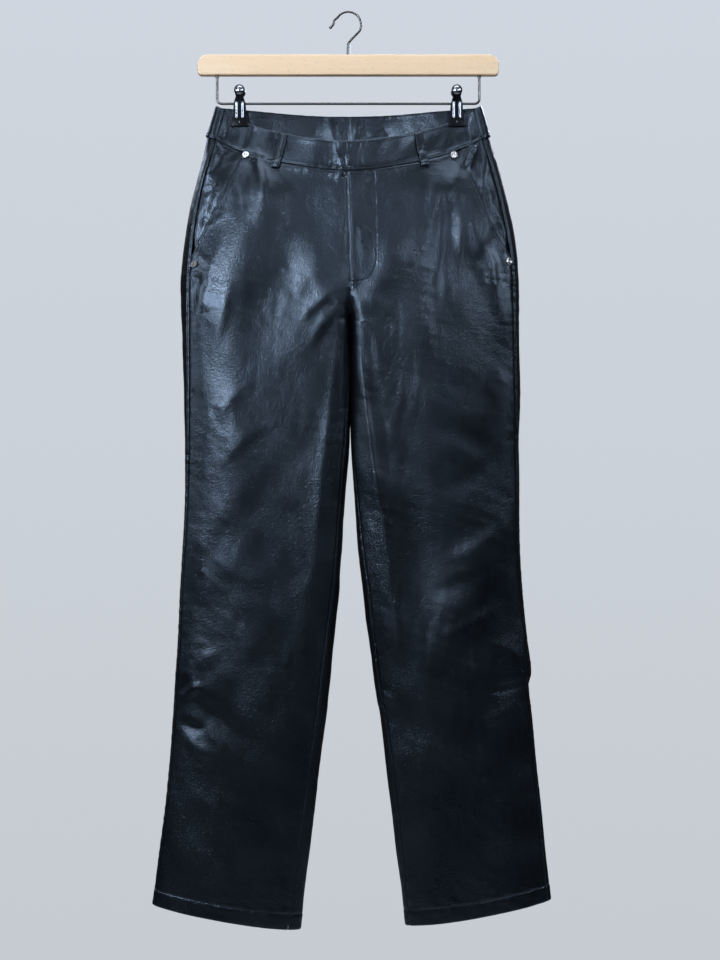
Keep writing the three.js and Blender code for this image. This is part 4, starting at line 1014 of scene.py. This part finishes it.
for side in ("left", "right"):
    part = side.capitalize()
    front, back = fronts[side], backs[side]
    fromStart = arcLength(back["made"], 1)
    line, normals = alongEdge(back["made"], fromStart, 2.5, (0, 1, 0))
    sewRow(f"stitchesSideSeam{part}", line[2:], normals[2:])
    fromEnd = arcLength(front["made"], 1)
    fromEnd = fromEnd[:, -1:] - fromEnd
    line, normals = alongEdge(front["made"][:, ::-1], fromEnd[:, ::-1], 2.5, (0, -1, 0))
    mouth = front["onMouth"]
    sewRow(f"stitchesPocket{part}", line[mouth][2:], -normals[mouth][2:])
    for word, panel, outward in (("Front", front, (0, -1, 0)), ("Back", back, (0, 1, 0))):
        made = panel["made"].transpose(1, 0, 2)[:, ::-1]
        line, normals = alongEdge(made, arcLength(made, 1), garment["hemHeight"] - 1, outward)
        sewRow(f"stitchesHem{word}{part}", line[1:-1], normals[1:-1])
    rows = bandFront[side]["made"].transpose(1, 0, 2)
    line, normals = alongEdge(rows, arcLength(rows, 1), 2.5, (0, -1, 0))
    sewRow(f"stitchesBand{part}", line[2:-2], normals[2:-2])
rows = bandBack["made"].transpose(1, 0, 2)
line, normals = alongEdge(rows, arcLength(rows, 1), 2.5, (0, 1, 0))
sewRow("stitchesBandBack", line[2:-2], normals[2:-2])
seat = backs["right"]["level"] > garment["crotch"][0]
rows = backs["right"]["made"][seat][:, ::-1]
line, normals = alongEdge(rows, arcLength(rows, 1), 2.5, (0, 1, 0))
sewRow("stitchesSeat", line[3:], normals[3:])

flyPlaces = [onCloth(float(x), float(z)) for x, z in smoothPath(flyCurve, 120)[6:-2]]
sewRow("stitchesFly", np.array([p for p, _ in flyPlaces]), np.array([n for _, n in flyPlaces]))

for loop, piece in zip(loops, loopPieces):
    for word, rows in (("A", piece["made"]), ("B", piece["made"][:, ::-1])):
        line, normals = alongEdge(rows, arcLength(rows, 1), loopLook["width"] / 2 - loopLook["stitchAt"],
                                  (0, piece["sign"], 0))
        sewRow(f"stitchesLoop{loop['name']}{word}", line[1:-1], normals[1:-1])
print("stitches made")


# Rivets at both ends of each pocket mouth

rivetLook = {"radius": 4.7, "height": 1.7, "rim": 0.5, "dimple": 2.1, "nub": 0.85}


# a profile of (radius, height) spun about its own axis, then put in place
def spunPiece(name, profile, place, steps, materials):
    bm = bmesh.new()
    verts = [bm.verts.new((r * mm, 0, h * mm)) for r, h in profile]
    edges = [bm.edges.new(pair) for pair in zip(verts, verts[1:])]
    bmesh.ops.spin(bm, geom=verts + edges, cent=(0, 0, 0), axis=(0, 0, 1), angle=2 * math.pi, steps=steps)
    bmesh.ops.remove_doubles(bm, verts=bm.verts[:], dist=0.004 * mm)
    bmesh.ops.recalc_face_normals(bm, faces=bm.faces[:])
    bmesh.ops.transform(bm, matrix=place, verts=bm.verts[:])
    for face in bm.faces:
        face.smooth = True
    mesh = bpy.data.meshes.new(name)
    bm.to_mesh(mesh)
    bm.free()
    return addObject(name, mesh, materials)


rivets = records(("word", "x", "z", "finish"), [
    ("top_left", -130.4, -184.6, "bright"), ("top_right", 134.9, -184.6, "bright"),
    ("low_left", -194.6, -324.5, "dark"), ("low_right", 203.6, -320.5, "bright"),
])
for rivet in rivets:
    look = rivetLook
    r, h, d = look["radius"], look["height"], look["dimple"]
    domed = [(r - 0.9 + 0.9 * math.sin(a), h - 0.9 + 0.9 * math.cos(a)) for a in np.linspace(math.pi / 2, 0, 6)]
    profile = [(0, -0.2), (r, -0.2), *domed, (d + 0.5, h + 0.05), (d, h - 0.15), (d - 0.35, h - 0.62),
               (look["nub"] + 0.3, h - 0.62), (look["nub"], h - 0.3), (look["nub"] * 0.6, h - 0.1), (0, h - 0.05)]
    at, _ = onCloth(rivet["x"], rivet["z"])
    reach = r * 0.8
    across = onCloth(rivet["x"] + reach, rivet["z"])[0] - onCloth(rivet["x"] - reach, rivet["z"])[0]
    up = onCloth(rivet["x"], rivet["z"] + reach)[0] - onCloth(rivet["x"], rivet["z"] - reach)[0]
    normal = Vector(np.cross(across, up)).normalized()
    low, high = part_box(f"rivet_{rivet['word']}")
    centre = (Vector(low) + Vector(high)) / 2
    centre.y = at[1] * mm
    place = Matrix.Translation(centre + normal * 0.45 * mm) @ Vector((0, 0, 1)).rotation_difference(normal).to_matrix().to_4x4()
    words = rivet["word"].split("_")
    finish = nickel if rivet["finish"] == "bright" else tarnished
    obj = spunPiece("rivet" + "".join(w.capitalize() for w in words), profile, place, 36, (finish,))
    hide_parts(f"rivet_{rivet['word']}")
print("rivets made")


# Hanger

bar = {"width": 385, "top": -54.4, "bottom": -80.4, "thick": 14, "topRound": 13, "lowRound": 5, "soften": 1.6}
hook = {"wire": 3, "radius": 16.5, "stem": 2.3, "stemTop": -40}
rail = {"wire": 1.7, "halfSpan": 167.7, "z": -116.2, "bend": 6}


def finishMesh(name, bm, materials):
    for face in bm.faces:
        face.smooth = True
    mesh = bpy.data.meshes.new(name)
    bm.to_mesh(mesh)
    bm.free()
    return addObject(name, mesh, materials)


# smooth shading that breaks at edges sharper than this
def sharpen(obj, degrees):
    smooth = obj.data
    smooth.set_sharp_from_angle(angle=math.radians(degrees))


def hangerBar():
    bm = bmesh.new()
    height = bar["top"] - bar["bottom"]
    place = Matrix.Translation((0, 0, (bar["top"] + bar["bottom"]) / 2 * mm))
    bmesh.ops.create_cube(bm, size=1, matrix=place @ Matrix.Diagonal((bar["width"] * mm, bar["thick"] * mm, height * mm, 1)))
    for where, radius, segments in ((bar["top"], bar["topRound"], 10), (bar["bottom"], bar["lowRound"], 6)):
        corners = [e for e in bm.edges if abs(e.verts[0].co.y - e.verts[1].co.y) > 0.01
                   and abs(e.verts[0].co.z / mm - where) < 0.1 and abs(e.verts[1].co.z / mm - where) < 0.1]
        bmesh.ops.bevel(bm, geom=corners, offset=radius * mm, offset_type="OFFSET", segments=segments,
                        profile=0.5, affect="EDGES", material=-1)
    rims = [e for e in bm.edges if abs(e.verts[0].co.y - e.verts[1].co.y) < 1e-6 and len(e.link_faces) == 2
            and abs(e.link_faces[0].normal.dot(e.link_faces[1].normal)) < 0.5]
    bmesh.ops.bevel(bm, geom=rims, offset=bar["soften"] * mm, offset_type="OFFSET", segments=4, profile=0.5,
                    affect="EDGES", material=-1)
    obj = finishMesh("hangerBar", bm, (beech,))
    sharpen(obj, 40)
    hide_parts("hanger_bar")


# round wire along paths of (x, y, z), with closed ends
def wire(name, paths, radius, material):
    data = bpy.data.curves.new(name, "CURVE")
    data.dimensions = "3D"
    data.bevel_depth = radius * mm
    data.bevel_resolution = 4
    data.use_fill_caps = True
    for path in paths:
        spline = data.splines.new("POLY")
        spline.points.add(len(path) - 1)
        for point, place in zip(spline.points, path):
            point.co = (*[c * mm for c in place], 1)
    temporary = bpy.data.objects.new(name, data)
    bpy.context.scene.collection.objects.link(temporary)
    mesh = bpy.data.meshes.new_from_object(temporary.evaluated_get(bpy.context.evaluated_depsgraph_get()))
    bpy.data.objects.remove(temporary)
    bpy.data.curves.remove(data)
    mesh.name = name
    mesh.materials.clear()
    for face in mesh.polygons:
        face.use_smooth = True
    obj = addObject(name, mesh, (material,))
    sharpen(obj, 50)
    return obj


def hangerHook():
    centreZ = hook["wire"] / 2 - hook["radius"]
    turns = np.radians(-32 + 15 * np.arange(13))
    arc = [(hook["radius"] * math.cos(a), 0, centreZ + hook["radius"] * math.sin(a)) for a in turns]
    curl = [(-17.9, 0, -9.6), (-18.4, 0, -13), (-20.2, 0, -16.2), (-22.4, 0, -18.4)]
    stem = [(0, 0, hook["stemTop"] - 2), (0.4, 0, hook["stemTop"] + 1.5), (6.5, 0, -31.5)]
    obj = wire("hangerHook", [smoothPath(stem + arc + curl, 150)], hook["wire"] / 2, plated)
    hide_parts("hanger_hook")
    bm = bmesh.new()
    bmesh.ops.create_uvsphere(bm, u_segments=20, v_segments=12, radius=hook["wire"] * 0.68 * mm,
                              matrix=Matrix.Translation((-22.6 * mm, 0, -18.6 * mm)))
    finishMesh("hookTip", bm, (plated,))
    r, low, high = hook["stem"], bar["top"] - 0.5, hook["stemTop"]
    profile = [(0, low), (r + 0.9, low), (r + 0.9, low + 1.2), (r + 0.3, low + 1.7), (r, low + 2), (r, high - 0.6),
               (r - 0.5, high), (0, high)]
    spunPiece("hookFerrule", profile, Matrix.Identity(4), 28, (plated,))


def clipRail():
    span, z, bend = rail["halfSpan"], rail["z"], rail["bend"]
    corner = [(bend * (1 - math.sin(a)), bend * (1 - math.cos(a))) for a in np.linspace(0, math.pi / 2, 9)]
    right = [(span - dx, 0, z + dz) for dx, dz in corner]
    path = [(-x, y, h) for x, y, h in [(span, 0, bar["bottom"] + 0.4)] + right[::-1]]
    path += right + [(span, 0, bar["bottom"] + 0.4)]
    obj = wire("clipRail", [path], rail["wire"], plated)
    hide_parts("clip_rail")
    for sign, word in ((-1, "Left"), (1, "Right")):
        profile = [(0, -2.4), (2.2, -2.4), (2.5, -2.0), (2.5, 0.2), (0, 0.2)]
        spunPiece(f"railSocket{word}", profile, Matrix.Translation((sign * span * mm, 0, bar["bottom"] * mm)), 24,
                  (plated,))


clip = {"padTop": -134.2, "padBottom": -146.8, "padWide": 23.2, "padNarrow": 19.6, "leaf": 1.3, "foot": 17.5,
        "shoulder": 14.6, "shoulderZ": -115.5, "neck": 9.4, "neckZ": -107.5, "knobZ": -100.5, "knob": 6.9,
        "knobRise": 3.6, "ribX": 3.9, "rib": 2.15, "barrel": 4.2, "barrelLength": 12}
leafStand = curveTable(("z", "y"), [(-90, 10.6), (-99, 9.4), (-109, 6.9), (-116, 5.6), (-134.2, 5.2)])


def leafHalfWidth(z):
    sides = np.interp(-z, [107.5, 115.5, 134.5], [clip["neck"] / 2, clip["shoulder"] / 2, clip["foot"] / 2])
    knob = np.sqrt(np.maximum(0, clip["knob"] ** 2 - (z - clip["knobZ"]) ** 2))
    return np.maximum(np.where(z < clip["neckZ"] + 1, sides, 0), knob)


def clipLeaf(side, face):
    sign, x0 = (-1 if face == "front" else 1), signOf(side) * garment["clipX"]
    z = np.concatenate([np.linspace(clip["padTop"] - 1.5, -106, 52), np.linspace(-105.6, clip["knobZ"] + 6.86, 34)])
    w = np.linspace(-1, 1, 45)
    half = leafHalfWidth(z)[:, None]
    x, zz = w * half, z[:, None] + 0 * w
    rib = np.zeros_like(x)
    for centre in (-clip["ribX"], clip["ribX"]):
        beyond = np.maximum(0, zz - (clip["shoulderZ"] - 1))
        r2 = (x - centre) ** 2 + beyond**2
        rib = np.maximum(rib, np.sqrt(np.maximum(0, clip["rib"] ** 2 - r2)))
    edge = 0.35 * np.maximum(0, (np.abs(w) - 0.86) / 0.14) ** 2
    y = leafStand["y"](zz) + clip["leaf"] / 2 + rib - edge
    points = np.stack([x0 + x, sign * y, zz], axis=-1)
    name = f"clipLeaf{face.capitalize()}{side.capitalize()}"
    mesh = meshFromGrid(name, points, (0, sign, 0))
    obj = addObject(name, mesh, (shadedChrome, chrome))
    # the ribs in bright chrome, the rest of the leaf in the dark copy as painted shade
    for polygon in mesh.polygons:
        at = polygon.center / mm
        onRib = abs(abs(at.x - x0) - clip["ribX"]) < clip["rib"] and at.z < clip["shoulderZ"] + clip["rib"] - 1
        polygon.material_index = 1 if onRib else 0
    solid = obj.modifiers.new("plate", "SOLIDIFY")
    solid.thickness = clip["leaf"] * mm
    solid.offset = -1
    sharpen(obj, 35)
    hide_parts(f"clip_{side}_leaf_{face}")
    bm = bmesh.new()
    r = clip["knob"] * 0.9
    place = Matrix.Translation((x0 * mm, sign * float(leafStand["y"](clip["knobZ"])) * mm, clip["knobZ"] * mm))
    bmesh.ops.create_uvsphere(bm, u_segments=32, v_segments=18, radius=r * mm,
                              matrix=place @ Matrix.Diagonal((1, clip["knobRise"] / r, 1, 1)))
    finishMesh(f"clipKnob{face.capitalize()}{side.capitalize()}", bm, (chrome,))


def clipPad(side, face):
    sign, x0 = (-1 if face == "front" else 1), signOf(side) * garment["clipX"]
    low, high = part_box(f"clip_{side}_pad_{face}")
    centre = (Vector(low) + Vector(high)) / 2
    size = Vector(high) - Vector(low)
    bm = bmesh.new()
    bmesh.ops.create_cube(bm, size=1, matrix=Matrix.Translation(centre) @ Matrix.Diagonal((*size, 1)))
    for v in bm.verts:
        if v.co.z > centre.z:
            v.co.x = x0 * mm + (v.co.x - x0 * mm) * clip["padNarrow"] / clip["padWide"]
    upright = [e for e in bm.edges if abs(e.verts[0].co.z - e.verts[1].co.z) > 0.003]
    bmesh.ops.bevel(bm, geom=upright + [e for e in bm.edges if all(v.co.z < centre.z for v in e.verts)],
                    offset=1.4 * mm, offset_type="OFFSET", segments=4, profile=0.5, affect="EDGES", material=-1)
    rest = [e for e in bm.edges if len(e.link_faces) == 2 and e.calc_face_angle(0) > 0.9]
    bmesh.ops.bevel(bm, geom=rest, offset=0.5 * mm, offset_type="OFFSET", segments=3, profile=0.5,
                    affect="EDGES", material=-1)
    obj = finishMesh(f"clipPad{face.capitalize()}{side.capitalize()}", bm, (pvc,))
    sharpen(obj, 45)
    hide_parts(f"clip_{side}_pad_{face}")
    outer = low[1] if face == "front" else high[1]
    turn = Vector((0, 0, 1)).rotation_difference(Vector((0, sign, 0))).to_matrix().to_4x4()
    place = Matrix.Translation((x0 * mm, outer, centre.z - 0.3 * mm)) @ turn
    spunPiece(f"clipPin{face.capitalize()}{side.capitalize()}",
              [(0, -0.4), (1.0, -0.4), (1.0, 0.1), (0.7, 0.4), (0, 0.45)], place, 16, (chrome,))


def clipBarrel(side):
    x0, r, half = signOf(side) * garment["clipX"], clip["barrel"], clip["barrelLength"] / 2
    turn = Vector((0, 0, 1)).rotation_difference(Vector((1, 0, 0))).to_matrix().to_4x4()
    place = Matrix.Translation((x0 * mm, 0, rail["z"] * mm)) @ turn
    bore = rail["wire"] + 0.3
    profile = [(bore, -half), (r, -half), (r, 1.2 - half), (3.1, 1.4 - half), (3.1, half - 1.4), (r, half - 1.2),
               (r, half), (bore, half), (bore, -half)]
    obj = spunPiece(f"clipBarrel{side.capitalize()}", profile, place, 28, (chrome,))
    sharpen(obj, 40)
    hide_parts(f"clip_{side}_barrel")
    t = np.linspace(0, 1, 150)
    coil = [(x0 + mix(-half + 1.9, half - 1.9, k), 3.65 * math.cos(k * 12 * math.pi), rail["z"] + 3.65 * math.sin(k * 12 * math.pi))
            for k in t]
    # the spring in the dark copy of chrome: painted shade in the barrel's waist
    wire(f"clipSpring{side.capitalize()}", [coil], 0.62, shadedChrome)


hangerBar()
hangerHook()
clipRail()
for side in ("left", "right"):
    clipBarrel(side)
    for face in ("front", "back"):
        clipLeaf(side, face)
        clipPad(side, face)
print("hanger made")


# Camera, light and floor

view = {"x": 15.1, "z": -597.8, "distance": 2400, "frameHeight": 1228.8}
cameraData = bpy.data.cameras.new("camera")
camera = bpy.data.objects.new("camera", cameraData)
bpy.context.scene.collection.objects.link(camera)
cameraData.sensor_fit = "VERTICAL"
cameraData.sensor_height = 36
cameraData.lens = 36 * view["distance"] / view["frameHeight"]
camera.location = (view["x"] * mm, -view["distance"] * mm, view["z"] * mm)
camera.rotation_euler = (math.radians(90), 0, 0)
bpy.context.scene.camera = camera

floorData = bpy.data.meshes.new("floor")
bm = bmesh.new()
bmesh.ops.create_circle(bm, cap_ends=True, segments=96, radius=2.4, matrix=Matrix.Translation((0, 0, -1.9)))
bm.to_mesh(floorData)
bm.free()
floor = bpy.data.objects.new("floor", floorData)
bpy.context.scene.collection.objects.link(floor)
floorMaterial, floorTree = newMaterial("pale studio floor")
finishMaterial(floorTree, addNode(floorTree, "ShaderNodeBsdfPrincipled", None,
                                  {"Base Color": colour("#e4e5e6"), "Roughness": 0.8}))
floorData.materials.append(floorMaterial)

light = {
    "wallTop": "#cfd6df", "wallLow": "#c6cbd1", "wallStrength": 1.0,
    "above": 0.24, "level": 0.036, "below": 0.015,
    "tint": "#d8e8ff",
    "lamps": records(("name", "at", "aim", "size", "spread", "watts"), [  # spread is the angle of the lamp's grid
        ("key", (-1.05, -2.15, -0.08), (-0.12, 0, -0.36), (0.7, 0.34), 60, 3.7),
        ("high", (-1.1, -1.9, 1.25), (-0.1, 0, -0.2), (0.4, 0.6), 70, 1.0),
        ("edge", (-2.1, -1.2, 0.05), (-0.15, 0, -0.3), (0.25, 0.8), 60, 1.4),
        ("side", (0.9, -2.3, 0.2), (0.12, 0, -0.22), (0.24, 0.26), 50, 0.52),
        ("front", (-0.4, -3.1, 0.95), (0, 0, -0.3), (2.4, 1.0), 120, 2.1),
        ("low", (-0.3, -3.1, -0.5), (0, 0, -0.6), (1.6, 1.2), 120, 0.6),
        ("fill", (1.9, -1.5, 0.4), (0, 0, -0.3), (0.6, 0.9), 90, 4.0),
        ("back", (1.15, 2.1, 0.9), (0.1, 0, -0.35), (0.6, 0.6), 90, 7),
        ("rear", (-0.4, 3.1, 1.0), (0, 0, -0.3), (2.4, 1.0), 120, 14),
        ("backFill", (-1.9, 1.5, 1.0), (0, 0, -0.3), (0.6, 0.9), 120, 5),
        ("above", (0, -0.3, 1.6), (0, 0, -0.3), (1.8, 1.8), 180, 38),
    ]),
}
for lamp in light["lamps"]:
    data = bpy.data.lights.new(lamp["name"], "AREA")
    data.shape = "RECTANGLE"
    data.size, data.size_y = lamp["size"]
    data.spread = math.radians(lamp["spread"])
    data.energy = lamp["watts"]
    data.color = colour(light["tint"])[:3]
    obj = bpy.data.objects.new(lamp["name"], data)
    obj.location = lamp["at"]
    obj.rotation_euler = (Vector(lamp["aim"]) - Vector(lamp["at"])).to_track_quat("-Z", "Y").to_euler()
    bpy.context.scene.collection.objects.link(obj)

world = bpy.data.worlds.new("studio")
bpy.context.scene.world = world
world.use_nodes = True
tree = world.node_tree
tree.nodes.clear()
height = addNode(tree, "ShaderNodeSeparateXYZ", None, {0: addNode(tree, "ShaderNodeTexCoord").outputs["Generated"]}).outputs[2]
# the backdrop the camera sees: the pale wall colour, darker towards the bottom as painted shade
wallShare = addNode(tree, "ShaderNodeMapRange", None, {"Value": height, "From Min": -0.25, "From Max": 0.25}).outputs[0]
wall = addNode(tree, "ShaderNodeMix", {"data_type": "RGBA"},
               {"Factor": wallShare, 6: colour(light["wallLow"]), 7: colour(light["wallTop"])}).outputs[2]
seen = addNode(tree, "ShaderNodeBackground", None, {"Color": wall, "Strength": light["wallStrength"]})
upper = addNode(tree, "ShaderNodeMapRange", None, {"Value": height, "From Min": 0.0, "From Max": 0.9,
                                                   "To Min": light["level"], "To Max": light["above"]}).outputs[0]
lower = addNode(tree, "ShaderNodeMapRange", None, {"Value": height, "From Min": -0.6, "From Max": 0.0,
                                                   "To Min": light["below"], "To Max": light["level"]}).outputs[0]
isUp = addNode(tree, "ShaderNodeMath", {"operation": "GREATER_THAN"}, {0: height, 1: 0.0}).outputs[0]
strength = addNode(tree, "ShaderNodeMix", None, {0: isUp, 2: lower, 3: upper}).outputs[0]
lit = addNode(tree, "ShaderNodeBackground", None, {"Color": colour("#dfe7f2"), "Strength": strength})
isSeen = addNode(tree, "ShaderNodeLightPath").outputs["Is Camera Ray"]
both = addNode(tree, "ShaderNodeMixShader", None, {0: isSeen, 1: lit.outputs[0], 2: seen.outputs[0]})
addNode(tree, "ShaderNodeOutputWorld", None, {"Surface": both.outputs[0]})
bpy.context.scene.view_settings.view_transform = "Standard"
print("light and camera set")
